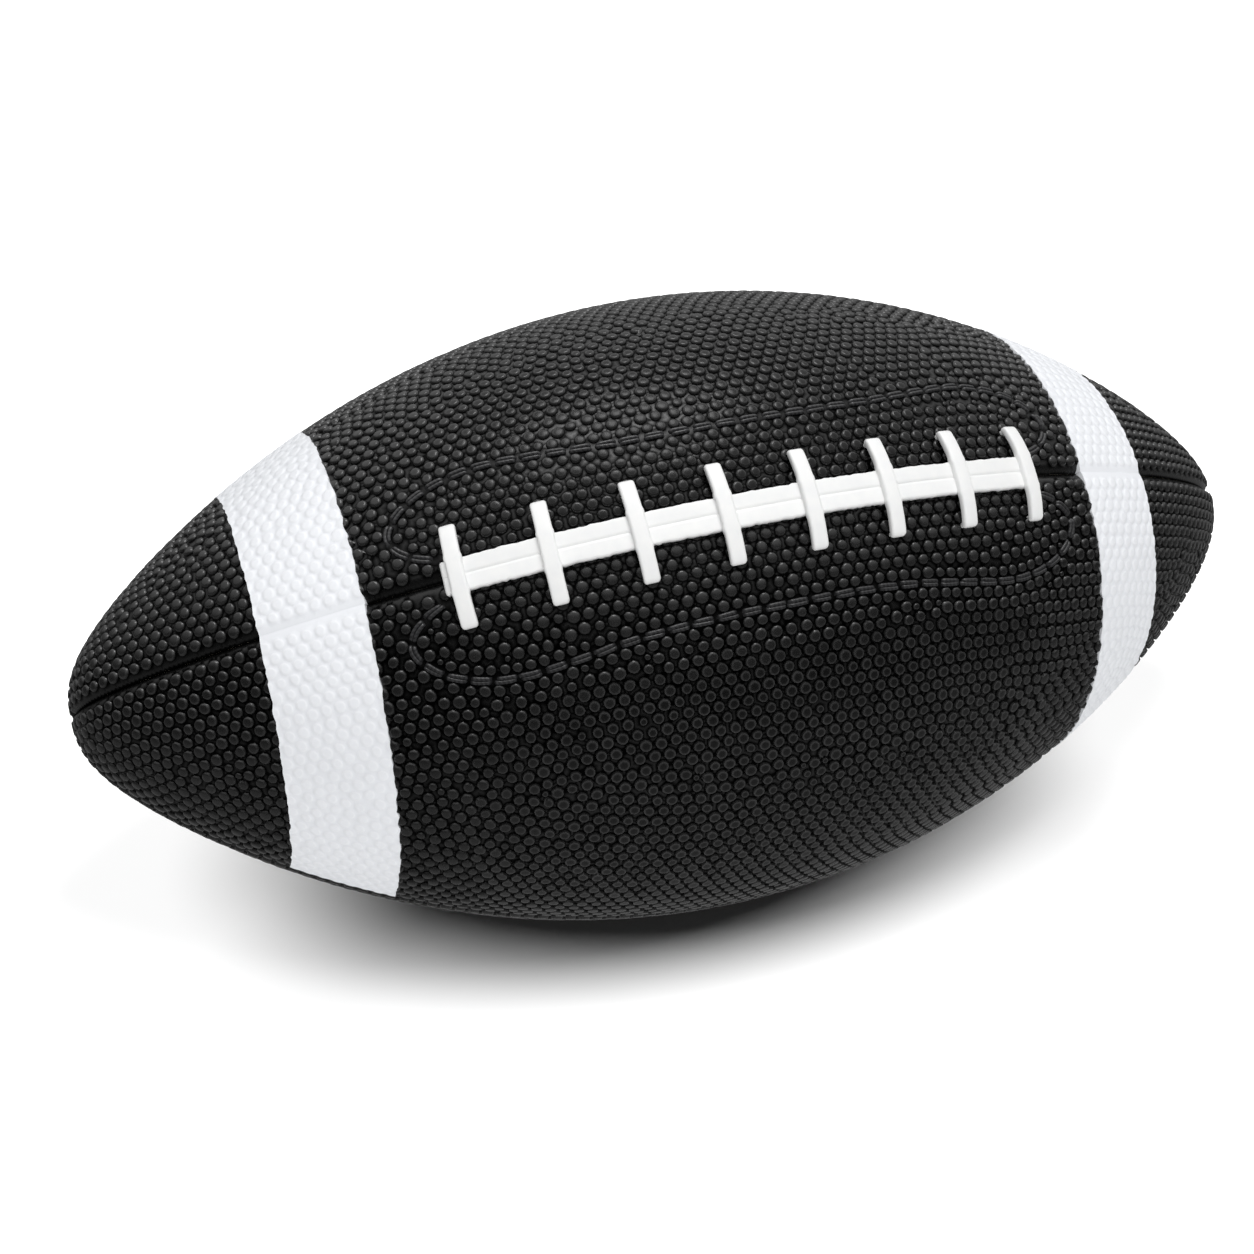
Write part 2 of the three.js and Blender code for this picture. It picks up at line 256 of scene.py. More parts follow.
@dataclass(frozen=True)
class MouldedRubber(Finish):
    """Rubber pressed in a mould: the raised parts are rubbed a little smoother than the hollows.

    The mesh's relief runs from 0 in a crease to 1 on a pebble's rim: low relief paints shade into the creases
    and high relief paints a highlight on the rims.
    """

    hollow_colour: str = "0c0c0c"
    raised_colour: str = "3e3e3e"
    roughness: float = 0.27
    raised_roughness: float = 0.2
    roughness_spread: float = 0.05
    ior: float = 1.52
    # Share of colour and specular level left in a crease: painted shade
    painted_crease_shade: float | None = None
    crease_width: float = 0.1
    mottle_size: float = 7 * MM
    mottle_share: float = 0.3
    grain_size: float = 0.3 * MM

    def pattern(self, tree: bpy.types.NodeTree, place: Socket) -> tuple[Socket, Socket]:
        """Adds the relief of the mesh and the mould's grain.

        Args:
            tree: The material's node tree.
            place: The point on the piece, in metres.

        Returns:
            The share of the raised colour, and the height of the grain.
        """
        relief = add_node(tree, "ShaderNodeAttribute", {"attribute_name": "relief"}, output="Fac")
        fine = {"Scale": 1 / self.grain_size, "Detail": 2.0}
        return relief, add_node(tree, "ShaderNodeTexNoise", fine, {"Vector": place}, "Fac")

    def vary(
        self, tree: bpy.types.NodeTree, place: Socket, share: Socket, height: Socket, links: Links
    ) -> None:
        """Mottles the colour, paints shade into the creases by darkening their colour and their specular
        level, and roughens the hollows.

        Args:
            tree: The material's node tree.
            place: The point on the piece, in metres.
            share: The relief, which paints shade into the creases and a highlight on the rims.
            height: The height of the grain.
            links: The shader's links, which it changes.
        """
        blotches = {"Scale": 1 / self.mottle_size, "Detail": 4.0}
        mottle = add_node(tree, "ShaderNodeTexNoise", blotches, {"Vector": place}, "Fac")
        levels = {**NOISE_RANGE, "To Min": 1 - self.mottle_share, "To Max": 1.0}
        shade = add_node(tree, "ShaderNodeMapRange", levels, {"Value": mottle})
        # Painted shade: the creases get a darker colour and a lower specular level
        if self.painted_crease_shade is not None:
            levels = {"From Max": self.crease_width, "To Min": self.painted_crease_shade}
            crease = add_node(tree, "ShaderNodeMapRange", levels, {"Value": share})
            shine = {"operation": "MULTIPLY", 1: self.specular}
            links["Specular IOR Level"] = add_node(tree, "ShaderNodeMath", shine, {0: crease})
            shade = add_node(tree, "ShaderNodeMath", {"operation": "MULTIPLY"}, {0: shade, 1: crease})
        full = {"blend_type": "MULTIPLY", "Fac": 1.0}
        tones = {"Color1": links["Base Color"], "Color2": shade}
        links["Base Color"] = add_node(tree, "ShaderNodeMixRGB", full, tones)
        levels = {"To Min": self.roughness, "To Max": self.raised_roughness}
        rubbed = add_node(tree, "ShaderNodeMapRange", levels, {"Value": share})
        levels = {**NOISE_RANGE, "To Min": -self.roughness_spread, "To Max": self.roughness_spread}
        patchy = add_node(tree, "ShaderNodeMapRange", levels, {"Value": height})
        links["Roughness"] = add_node(tree, "ShaderNodeMath", {"operation": "ADD"}, {0: rubbed, 1: patchy})


@dataclass(frozen=True)
class MouldedVinyl(Finish):
    """White vinyl from a polished mould: clean and softly shining, with faint flow marks."""

    hollow_colour: str = "e5e6e7"
    raised_colour: str = "f0f0ee"
    roughness: float = 0.38
    roughness_spread: float = 0.06
    ior: float = 1.53
    flow_size: float = 2.5 * MM
    bump_depth: float = 0.03 * MM
    bump_strength: float = 0.3

    def pattern(self, tree: bpy.types.NodeTree, place: Socket) -> tuple[Socket, Socket]:
        """Adds the flow marks.

        Args:
            tree: The material's node tree.
            place: The point on the piece, in metres.

        Returns:
            The flow marks, as the share of the raised colour and as the height.
        """
        marks = {"Scale": 1 / self.flow_size, "Detail": 3.0}
        flow = add_node(tree, "ShaderNodeTexNoise", marks, {"Vector": place}, "Fac")
        return flow, flow

    def vary(
        self, tree: bpy.types.NodeTree, place: Socket, share: Socket, height: Socket, links: Links
    ) -> None:
        """Makes the flow marks a little duller.

        Args:
            tree: The material's node tree.
            place: The point on the piece, in metres.
            share: The share of the raised colour.
            height: The height of the flow marks.
            links: The shader's links, which it changes.
        """
        low, high = self.roughness - self.roughness_spread, self.roughness + self.roughness_spread
        levels = {**NOISE_RANGE, "To Min": low, "To Max": high}
        links["Roughness"] = add_node(tree, "ShaderNodeMapRange", levels, {"Value": height})


@dataclass(frozen=True)
class TwistedThread(Finish):
    """Waxed polyester thread, twisted from plies: dark, with a slanting glint on each ply that is painted as
    a lighter crest, and painted shade between the plies.
    """

    hollow_colour: str = "1d1d1e"
    raised_colour: str = "2f2f30"
    roughness: float = 0.34
    bump_strength: float = 0.6

    def pattern(self, tree: bpy.types.NodeTree, place: Socket) -> tuple[Socket, Socket]:
        """Adds the plies, from how far the mesh says each point is along the twist.

        Args:
            tree: The material's node tree.
            place: The point on the piece, in metres.

        Returns:
            The plies, as the share of the raised colour and as the height.
        """
        lay = add_node(tree, "ShaderNodeAttribute", {"attribute_name": "lay"}, output="Fac")
        turn = add_node(tree, "ShaderNodeMath", {"operation": "MULTIPLY", 1: FULL_TURN}, {0: lay})
        wave = add_node(tree, "ShaderNodeMath", {"operation": "SINE"}, {0: turn})
        ply = add_node(tree, "ShaderNodeMapRange", {"From Min": -1.0}, {"Value": wave})
        return ply, ply


@dataclass(frozen=True)
class WovenCloth(Finish):
    """Threads laid side by side or woven: two sets of ridges, of which one may be left out. The hollows
    between them are painted darker, as shade.
    """

    hollow_colour: str = "2b2926"
    raised_colour: str = "4a4743"
    roughness: float = 0.85
    thread_spacing: float = 0.6 * MM
    thread_waver: float = 0.6
    crossed: bool = True
    bump_depth: float = 0.1 * MM
    bump_strength: float = 0.7

    def pattern(self, tree: bpy.types.NodeTree, place: Socket) -> tuple[Socket, Socket]:
        """Adds the ridges of the threads.

        Args:
            tree: The material's node tree.
            place: The point on the piece, in metres.

        Returns:
            The ridges, as the share of the raised colour and as the height.
        """
        # At scale 1, one wave of the texture is a tenth of pi long
        scale = math.pi / 10 / self.thread_spacing
        waves = {"Scale": scale, "Distortion": self.thread_waver, "Detail": 1.0}
        ridges = [
            add_node(tree, "ShaderNodeTexWave", {"bands_direction": way, **waves}, {"Vector": place}, "Fac")
            for way in (("X", "DIAGONAL") if self.crossed else ("X",))
        ]
        height = ridges[0]
        if self.crossed:
            height = add_node(tree, "ShaderNodeMath", {"operation": "MULTIPLY"}, dict(enumerate(ridges)))
        return height, height


@dataclass(frozen=True)
class StudioPaper(Finish):
    """Matt white background paper with a trace of tooth.

    It is lit beyond white for the camera, so other rays meet a dimmer paper and the ball gets a plain bounce.
    """

    hollow_colour: str = "f6f6f6"
    raised_colour: str = "f6f6f6"
    roughness: float = 0.95
    specular: float = 0.0
    tooth_size: float = 1.5 * MM
    bounce_share: float = 0.57
    bump_depth: float = 0.05 * MM
    bump_strength: float = 0.05

    def tones(self) -> tuple[Colour, Colour]:
        """Gives the linear colours that other rays and the camera's rays meet."""
        bounced, white = super().tones()
        return (*(self.bounce_share * part for part in bounced[:3]), 1.0), white

    def pattern(self, tree: bpy.types.NodeTree, place: Socket) -> tuple[Socket, Socket]:
        """Adds the camera's view and the paper's tooth.

        Args:
            tree: The material's node tree.
            place: The point on the piece, in metres.

        Returns:
            1 for the camera's rays and 0 for others, and the height of the tooth.
        """
        seen = add_node(tree, "ShaderNodeLightPath", output="Is Camera Ray")
        tooth = {"Scale": 1 / self.tooth_size}
        return seen, add_node(tree, "ShaderNodeTexNoise", tooth, {"Vector": place}, "Fac")


# Pebbled black rubber from the panel mould: satin on the pebble tops, with painted shade in the creases round
# them and a painted highlight on the pebbles' rims
PANEL_RUBBER = MouldedRubber("panel_rubber_moulded_black", painted_crease_shade=0.08)
# White rubber skin cured onto the panels: nearly matt, painted greyer in the creases between the pebbles, as
# shade
STRIPE_RUBBER = MouldedRubber(
    "stripe_rubber_moulded_white", "eceef2", "fbfcfe", 0.7, raised_roughness=0.55, mottle_share=0.03
)
# White vinyl laces from a polished mould: brighter and smoother than the stripes
LACE_VINYL = MouldedVinyl("lace_vinyl_moulded_white")
# Waxed black thread of the lockstitch round the lacing: a painted glint on each ply's crest and painted shade
# between the plies, besides their bump
STITCH_THREAD = TwistedThread("stitch_thread_waxed_black")
# Dark grey valve rubber: smoother than the cover, with a fine mould grain
VALVE_RUBBER = MouldedRubber(
    "valve_rubber_moulded_grey", "1d1d1e", "2a2a2b", 0.6, raised_roughness=0.5, mottle_share=0.15
)
# Dipped butyl of the bladder: smooth, dark and slightly shining
BLADDER_BUTYL = MouldedRubber(
    "bladder_butyl_dipped_black", "131314", "18181a", 0.4, raised_roughness=0.4, mottle_size=20 * MM
)
# Nylon thread wound round the bladder: close parallel ridges in a natural colour
WINDING_NYLON = WovenCloth(
    "winding_nylon_wound", "857e6c", "b9b2a0", 0.75, thread_spacing=0.8 * MM, crossed=False
)
# Rubber-proofed canvas of the lace backing: a dull plain weave
BACKING_CANVAS = WovenCloth("backing_canvas_woven")
# White seamless paper under the ball
FLOOR_PAPER = StudioPaper("floor_paper_white")


# The ball's form


@dataclass
class BallForm:
    """The ball's outline and how it lies, which every piece on the cover follows."""

    length: float = 280 * MM
    diameter: float = 142 * MM
    tip_power: float = 0.4
    shoulder_taper: float = 0.35
    tip_taper: float = 0.11
    lace_lean: float = math.radians(42)
    valve_angle: float = math.radians(225)
    rest_depth: float = 0.6 * MM
    samples: int = 6001
    xs: Array = field(init=False, repr=False)
    radii: Array = field(init=False, repr=False)
    arcs: Array = field(init=False, repr=False)
    spreads: Array = field(init=False, repr=False)
    normals: Array = field(init=False, repr=False)

    def __post_init__(self) -> None:
        """Samples the outline from tip to tip."""
        share = np.sin(np.linspace(-QUARTER, QUARTER, self.samples))[1:-1]
        square = share ** 2
        self.xs = self.length / 2 * share
        taper = 1 - self.shoulder_taper * square - self.tip_taper * square ** 2
        self.radii = self.diameter / 2 * (1 - square) ** self.tip_power * taper
        step = np.hypot(np.diff(self.xs), np.diff(self.radii))
        middle = len(self.xs) // 2
        run = np.concatenate([[0], np.cumsum(step)])
        self.arcs = run - run[middle]
        widening = np.concatenate([[0], np.cumsum(2 * step / (self.radii[1:] + self.radii[:-1]))])
        self.spreads = widening - widening[middle]
        along, outward = np.gradient(self.xs, self.arcs), np.gradient(self.radii, self.arcs)
        self.normals = np.stack([-outward, along]) / np.hypot(along, outward)

    def radius(self, arc: Array) -> Array:
        """Gives the radius at these arcs."""
        return np.interp(arc, self.arcs, self.radii)

    def arc_at(self, x: float | Array) -> Array:
        """Gives the arc at these distances along the long axis."""
        return np.interp(x, self.xs, self.arcs)

    def left_arc(self, radius: float) -> float:
        """Gives the arc left of the ball's middle at which the outline has this radius."""
        half = len(self.arcs) // 2
        return float(np.interp(radius, self.radii[:half], self.arcs[:half]))

    def rows(
        self, start: float, arcs: Array, margins: Array, step: float, extra: int = 0
    ) -> tuple[Array, Array]:
        """Spreads points over a panel, in rows across it.

        Args:
            start: Angle of the seam at which the panel starts.
            arcs: Arc of each row.
            margins: Angle that each row keeps from both seams.
            step: Distance between the points of a row.
            extra: Points that a row has beyond those that the step gives.

        Returns:
            Arc and angle of each point.
        """
        rows = []
        for arc, radius, margin in zip(arcs, self.radius(arcs), margins):
            count = int(radius * (QUARTER - 2 * margin) / step)
            if count > 0:
                turn = np.linspace(margin, QUARTER - margin, count + extra)
                rows.append(np.stack([np.full(len(turn), arc), start + turn]))
        arc, angle = np.concatenate(rows, axis=1)
        return arc, angle

    def flat(self, arc: Array, angle: Array) -> Array:
        """Lays points of the ball on a flat chart that keeps small shapes true.

        Args:
            arc: Arc of each point.
            angle: Angle of each point.

        Returns:
            Two chart numbers for each point.
        """
        return np.stack([np.interp(arc, self.arcs, self.spreads), angle], axis=-1)

    def place(self, arc: Array, angle: Array, height: Array | float = 0.0) -> Array:
        """Finds points in space.

        Args:
            arc: Arc of each point.
            angle: Angle of each point.
            height: Height over the outline, along its normal.

        Returns:
            One row of x, y and z for each point, none of them below the floor.
        """
        along, outward = (np.interp(arc, self.arcs, part) for part in self.normals)
        x = np.interp(arc, self.arcs, self.xs) + height * along
        reach = self.radius(arc) + height * outward
        turn = angle + self.lace_lean
        z = reach * np.cos(turn) + self.diameter / 2 - self.rest_depth
        return np.stack([x, -reach * np.sin(turn), np.maximum(z, 0)], axis=-1)


# Lacing outline: the stitch line, shared by the cover and the stitching


@dataclass
class StitchLine:
    """The waisted line of stitches round the lacing, on one side of the lace seam."""

    form: BallForm
    # Distances along the ball and from the lace seam, from one end of the line to the ball's middle
    end_curl: tuple[tuple[float, float], ...] = (
        (66.0, 4.6), (69.6, 6.2), (72.6, 8.8), (73.5, 12.0), (71.6, 15.6), (67.4, 19.0),
        (61.0, 21.6), (53.0, 22.7), (43.0, 22.0), (30.0, 20.7), (14.0, 20.2), (0.0, 20.2),
    )
    step: float = 0.25 * MM
    span_steps: int = 40

    def points(self, side: int) -> tuple[Array, Array]:
        """Draws the line in small even steps.

        Args:
            side: 1 for the front, -1 for the rear.

        Returns:
            Arc and angle of each point.
        """
        half = np.array(self.end_curl) * MM
        knots = np.concatenate([half, half[-2::-1] * (-1, 1)])
        shares = np.linspace(0, 1, self.span_steps, endpoint=False)[:, None]
        ends = np.concatenate([knots[:1], knots, knots[-1:]])
        spans = []
        for before, here, there, after in zip(ends, ends[1:], ends[2:], ends[3:]):
            lift = 2 * before - 5 * here + 4 * there - after
            bend = 3 * (here - there) + after - before
            spans.append(here + shares / 2 * (there - before + shares * (lift + shares * bend)))
        curve = np.concatenate(spans + [knots[-1:]])
        arc = self.form.arc_at(curve[:, 0])
        run = np.concatenate([[0], np.cumsum(np.hypot(np.diff(arc), np.diff(curve[:, 1])))])
        even = np.linspace(0, run[-1], int(run[-1] / self.step))
        arc, across = np.interp(even, run, arc), np.interp(even, run, curve[:, 1])
        return arc, side * across / self.form.radius(arc)


# Cover


class PanelPlace(Enum):
    """The four panels of the cover, by the seam at which each starts, counted from the lace seam."""

    LACING_FRONT = ("lacing_panel_front", 0)
    PLAIN_FRONT = ("plain_panel_front", 1)
    PLAIN_REAR = ("plain_panel_rear", 2)
    LACING_REAR = ("lacing_panel_rear", 3)

    @property
    def node(self) -> str:
        """Name of the panel's solid."""
        return self.value[0]

    @property
    def start(self) -> float:
        """Angle of the seam at which the panel starts."""
        return self.value[1] * QUARTER

    @property
    def laced(self) -> bool:
        """Whether the panel meets the lace seam."""
        return self in (PanelPlace.LACING_FRONT, PanelPlace.LACING_REAR)

    @property
    def side(self) -> str:
        """Side of the ball on which the panel lies."""
        return self.node.rsplit("_", 1)[1]

    @property
    def lace_seam(self) -> float:
        """Angle of the lace seam, as a lacing panel's own angles reach it."""
        return 0 if self is PanelPlace.LACING_FRONT else FULL_TURN


@dataclass
class PebbleField:
    """Where the pebbles of one panel stand: rows along both seams that loosen towards the middle."""

    form: BallForm
    start: float
    rng: np.random.Generator
    line: tuple[Array, Array] | None = None
    line_distance: float = 2.1 * MM
    line_pitch: float = 2.85 * MM
    line_loose: float = 0.05
    line_clear: float = 0.9
    pitch: float = 3.1 * MM
    size: float = 1.42 * MM
    size_spread: tuple[float, float] = (0.87, 1.09)
    seam_distance: float = 2.75 * MM
    closest: float = 0.76
    hole: float = 0.72
    hole_step: float = 0.7 * MM
    loose_at_seam: float = 0.07
    loose_inside: float = 0.25
    loose_from: float = 16 * MM
    row_end: float = 0.45
    row_shift: float = 0.15
    middle_room: float = 1.75
    rounds: int = 16
    rounds_paired: int = 4
    push_share: float = 0.28
    neighbour: float = 1.5
    least_distance: float = 0.05 * MM
    least_shrink: float = 0.4
    fillings: int = 3
    small_share: float = 0.04
    small_size: float = 0.75
    gap_sides: int = 5
    arc: Array = field(init=False, repr=False)
    angle: Array = field(init=False, repr=False)
    held: Array = field(init=False, repr=False)
    reach: Array = field(init=False, repr=False)

    def __post_init__(self) -> None:
        """Lays the rows, lets them settle and gives each pebble its size."""
        self.lay_rows()
        self.held = np.zeros(len(self.arc), bool)
        if self.line is not None:
            self.line_up()
        self.settle()
        self.thin_out()
        for _ in range(self.fillings):
            self.fill_holes()
            self.settle()
        self.reach = self.size * self.rng.uniform(*self.size_spread, len(self.arc))
        self.reach[self.rng.uniform(0, 1, len(self.arc)) < self.small_share] *= self.small_size

    def lay_rows(self) -> None:
        """Lays rows in from both seams, and one along the middle where they leave room."""
        form, pitch = self.form, self.pitch
        gap = pitch * math.sqrt(3) / 2
        half = form.radii * QUARTER / 2
        spare = half - self.row_end * gap - self.seam_distance
        rows = int(spare.max() / gap) + 1
        arcs, angles = [], []
        for row in range(rows):
            distance = self.seam_distance + row * gap
            turn = distance / form.radii
            step = np.hypot(np.diff(form.arcs), (form.radii[1:] + form.radii[:-1]) / 2 * np.diff(turn))
            run = np.concatenate([[0], np.cumsum(step)])
            run -= run[len(run) // 2]
            room = run[spare >= row * gap]
            for side in (0, 1):
                shift = (row % 2) / 2 + self.rng.uniform(-self.row_shift, self.row_shift)
                count = int(room[-1] / pitch)
                at = np.interp((np.arange(-count, count) + shift) * pitch, run, form.arcs)
                turned = distance / form.radius(at)
                arcs.append(at)
                angles.append(turned if side == 0 else QUARTER - turned)
        last = np.floor(np.maximum(spare, 0) / gap) * gap + self.seam_distance
        left = np.where(spare > 0, 2 * (half - last), np.where(half > self.seam_distance, 2 * gap, 0))
        count = int(form.arcs[-1] / pitch)
        middle = np.arange(-count, count + 1) * pitch
        middle = middle[np.interp(middle, form.arcs, left) > self.middle_room * gap]
        self.arc = np.concatenate(arcs + [middle])
        self.angle = self.start + np.concatenate(angles + [np.full(len(middle), QUARTER / 2)])
        radius = form.radius(self.arc)
        inside = self.angle - self.start
        share = np.clip(radius * np.minimum(inside, QUARTER - inside) / self.loose_from, 0, 1)
        loose = pitch * (self.loose_at_seam + (self.loose_inside - self.loose_at_seam) * share)
        self.arc += self.rng.normal(0, 1, len(self.arc)) * loose
        self.angle += self.rng.normal(0, 1, len(self.arc)) * loose / radius
        self.hold()

    def line_up(self) -> None:
        """Puts a row of pebbles along each side of the stitch line, in place of those that were there."""
        arc, angle = self.line
        radius = self.form.radius(arc)
        along, around = np.gradient(arc), np.gradient(angle) * radius
        size = np.hypot(along, around)
        run = np.concatenate([[0], np.cumsum(size[1:])])
        arcs, angles = [], []
        for side in (-1, 1):
            beside = side * self.line_distance
            at = np.arange(self.line_pitch * (1 + side) / 4, run[-1], self.line_pitch)
            at = at + self.rng.normal(0, self.line_loose * self.line_pitch, len(at))
            arcs.append(np.interp(at, run, arc - beside * around / size))
            angles.append(np.interp(at, run, angle + beside * along / size / radius))
        new_arc, new_angle = np.concatenate(arcs), np.concatenate(angles)
        away = self.distance_to(new_arc, new_angle, arc, angle)
        margin = self.seam_distance / self.form.radius(new_arc)
        inside = (new_angle - self.start > margin) & (self.start + QUARTER - new_angle > margin)
        good = inside & (away > self.line_clear * self.line_distance)
        away = self.distance_to(self.arc, self.angle, arc, angle)
        clear = away > self.line_distance + self.pitch / 2
        self.held = np.concatenate([np.zeros(clear.sum(), bool), np.ones(good.sum(), bool)])
        self.arc = np.concatenate([self.arc[clear], new_arc[good]])
        self.angle = np.concatenate([self.angle[clear], new_angle[good]])

    def distance_to(self, arc: Array, angle: Array, line_arc: Array, line_angle: Array) -> Array:
        """Measures how far points lie from a line.

        Args:
            arc: Arc of each point.
            angle: Angle of each point.
            line_arc: Arc of each of the line's points.
            line_angle: Angle of each of the line's points.

        Returns:
            The distance of each point.
        """
        around = self.form.radius(arc)[:, None] * (angle[:, None] - line_angle[None])
        return np.hypot(arc[:, None] - line_arc[None], around).min(axis=1)

    def hold(self) -> None:
        """Keeps the pebbles off the seams and the tips."""
        limit = self.form.left_arc(self.seam_distance / (QUARTER / 2))
        self.arc = np.clip(self.arc, limit, -limit)
        margin = self.seam_distance / self.form.radius(self.arc)
        self.angle = np.clip(self.angle, self.start + margin, self.start + QUARTER - margin)

    def tree(self) -> tuple[Array, kdtree.KDTree]:
        """Sorts the pebbles by their places, to find near ones.

        Returns:
            The pebbles' places, and the sorted tree of them.
        """
        points = self.form.place(self.arc, self.angle)
        tree = kdtree.KDTree(len(points))
        for number, point in enumerate(points):
            tree.insert(point, number)
        tree.balance()
        return points, tree

    def clear_of(self, arc: Array, angle: Array, margin: float) -> Array:
        """Tells which points keep clear of the pebbles.

        Args:
            arc: Arc of each point.
            angle: Angle of each point.
            margin: Least distance from a pebble's foot.

        Returns:
            One truth value for each point.
        """
        _, tree = self.tree()
        found = [tree.find(point) for point in self.form.place(arc, angle)]
        return np.array([distance > self.reach[number] + margin for _, number, distance in found])

    def pairs(self, within: float) -> tuple[Array, Array]:
        """Finds pebbles that stand close together.

        Args:
            within: The largest distance.

        Returns:
            Numbers of the first and of the second pebble of each pair.
        """
        points, tree = self.tree()
        found = [
            (number, other)
            for number, point in enumerate(points)
            for _, other, _ in tree.find_range(point, within)
            if other > number
        ]
        first, second = np.array(found, int).reshape(-1, 2).T
        return first, second

    def offsets(self, first: Array, second: Array) -> tuple[Array, Array, Array]:
        """Measures pairs of pebbles.

        Args:
            first: Numbers of the first pebbles.
            second: Numbers of the second pebbles.

        Returns:
            Offset along the ball, offset round it, and distance.
        """
        radius = self.form.radius(self.arc)
        along = self.arc[first] - self.arc[second]
        around = (self.angle[first] - self.angle[second]) * (radius[first] + radius[second]) / 2
        return along, around, np.maximum(np.hypot(along, around), self.least_distance)

    def settle(self) -> None:
        """Pushes pebbles apart that stand closer than the pitch."""
        for number in range(self.rounds):
            if number % self.rounds_paired == 0:
                first, second = self.pairs(self.neighbour * self.pitch)
            along, around, distance = self.offsets(first, second)
            push = self.push_share * np.clip(self.pitch / distance - 1, 0, 1)
            radius = self.form.radius(self.arc)
            for sign, ends in ((1, first), (-1, second)):
                free = sign * push * ~self.held[ends]
                np.add.at(self.arc, ends, free * along)
                np.add.at(self.angle, ends, free * around / radius[ends])
            self.hold()

    def thin_out(self) -> None:
        """Takes out one pebble of each pair that still stands too close."""
        first, second = self.pairs(self.closest * self.pitch)
        keep = np.ones(len(self.arc), bool)
        for one, other in zip(first, second):
            if keep[one] and keep[other]:
                keep[other] = False
        self.keep(keep)

    def grid(self) -> tuple[Array, Array]:
        """Spreads points evenly over the panel, to look for room.

        Returns:
            Arc and angle of each point.
        """
        arcs = np.arange(self.arc.min(), self.arc.max(), self.hole_step)
        return self.form.rows(self.start, arcs, self.seam_distance / self.form.radius(arcs), self.hole_step)

    @staticmethod
    def choose(points: Array, room: Array, least: float, apart: Array) -> list[int]:
        """Chooses places one by one, the roomiest first, so that they keep apart.

        Args:
            points: The places.
            room: How much room each one has.
            least: The least room that is worth choosing.
            apart: What each place adds to its distance from another.

        Returns:
            Numbers of the chosen places.
        """
        chosen: list[int] = []
        for number in np.argsort(-room):
            if room[number] < least:
                break
            away = np.linalg.norm(points[chosen] - points[number], axis=1)
            if (away > apart[chosen] + apart[number]).all():
                chosen.append(int(number))
        return chosen

    def fill_holes(self) -> None:
        """Adds a pebble wherever the others leave room for one."""
        arc, angle = self.grid()
        points = self.form.place(arc, angle)
        _, tree = self.tree()
        room = np.array([tree.find(point)[2] for point in points])
        if self.line is not None:
            room[self.distance_to(arc, angle, *self.line) < self.line_distance] = 0
        least = self.hole * self.pitch
        added = self.choose(points, room, least, np.full(len(room), least / 2))
        self.add(arc[added], angle[added])

    def add(self, arc: Array, angle: Array) -> None:
        """Adds pebbles that aren't held."""
        self.arc, self.angle = np.append(self.arc, arc), np.append(self.angle, angle)
        self.held = np.append(self.held, np.zeros(len(arc), bool))

    def fill_gaps(self, bare: list[tuple[Array, Array, float]], clearance: float, smallest: float) -> None:
        """Adds small pebbles that fit the gaps between the others.

        Args:
            bare: Lines that stay bare, by arc and angle of their points and by their half width.
            clearance: Bare width between two pebbles.
            smallest: Reach below which a pebble isn't added.
        """
        arc, angle = self.grid()
        points = self.form.place(arc, angle)
        _, tree = self.tree()
        near = [tree.find_n(point, self.gap_sides) for point in points]
        room = np.array([min(away - self.reach[number] for _, number, away in found) for found in near])
        room = room - clearance
        for line_arc, line_angle, margin in bare:
            room = np.minimum(room, self.distance_to(arc, angle, line_arc, line_angle) - margin)
        room = np.minimum(room, self.size)
        added = self.choose(points, room, smallest, room + clearance / 2)
        self.add(arc[added], angle[added])
        self.reach = np.append(self.reach, room[added])

    def keep(self, chosen: Array) -> None:
        """Keeps the chosen pebbles only."""
        for name in ("arc", "angle", "held", "reach"):
            if name in self.__dict__:
                setattr(self, name, getattr(self, name)[chosen])

    def hollows(self, margin: float) -> tuple[Array, Array]:
        """Finds the bare points halfway between two neighbours, and those between three.

        Args:
            margin: Least distance from a pebble's foot.

        Returns:
            Arc and angle of each point.
        """
        chart = self.form.flat(self.arc, self.angle)
        joined = geometry.delaunay_2d_cdt([Vector(point) for point in chart], [], [], 0, TINY)
        origins = np.array([origin[0] for origin in joined[3]])
        pairs = origins[np.array(joined[1])]
        _, _, distance = self.offsets(pairs[:, 0], pairs[:, 1])
        corners = pairs[distance < self.neighbour * self.pitch], origins[np.array(joined[2])]
        arc = np.concatenate([self.arc[numbers].mean(axis=1) for numbers in corners])
        angle = np.concatenate([self.angle[numbers].mean(axis=1) for numbers in corners])
        free = self.clear_of(arc, angle, margin)
        return arc[free], angle[free]

    def clear_line(self, arc: Array, angle: Array, margin: float, smallest: float) -> None:
        """Shrinks the pebbles beside a line and takes out those on it.

        Args:
            arc: Arcs of the line's points.
            angle: Angles of the line's points.
            margin: Bare width on each side of the line.
            smallest: Reach below which a pebble goes.
        """
        distance = self.distance_to(self.arc, self.angle, arc, angle)
        self.reach = np.minimum(self.reach, distance - margin)
        self.keep(self.reach > smallest)

    def part(self, clearance: float) -> None:
        """Shrinks pebbles until a bare strip of this width stays between neighbours."""
        first, second = self.pairs(2 * self.pitch)
        _, _, distance = self.offsets(first, second)
        share = (distance - clearance) / (self.reach[first] + self.reach[second])
        limit = np.ones(len(self.arc))
        np.minimum.at(limit, first, share)
        np.minimum.at(limit, second, share)
        self.reach = self.reach * np.clip(limit, self.least_shrink, 1)


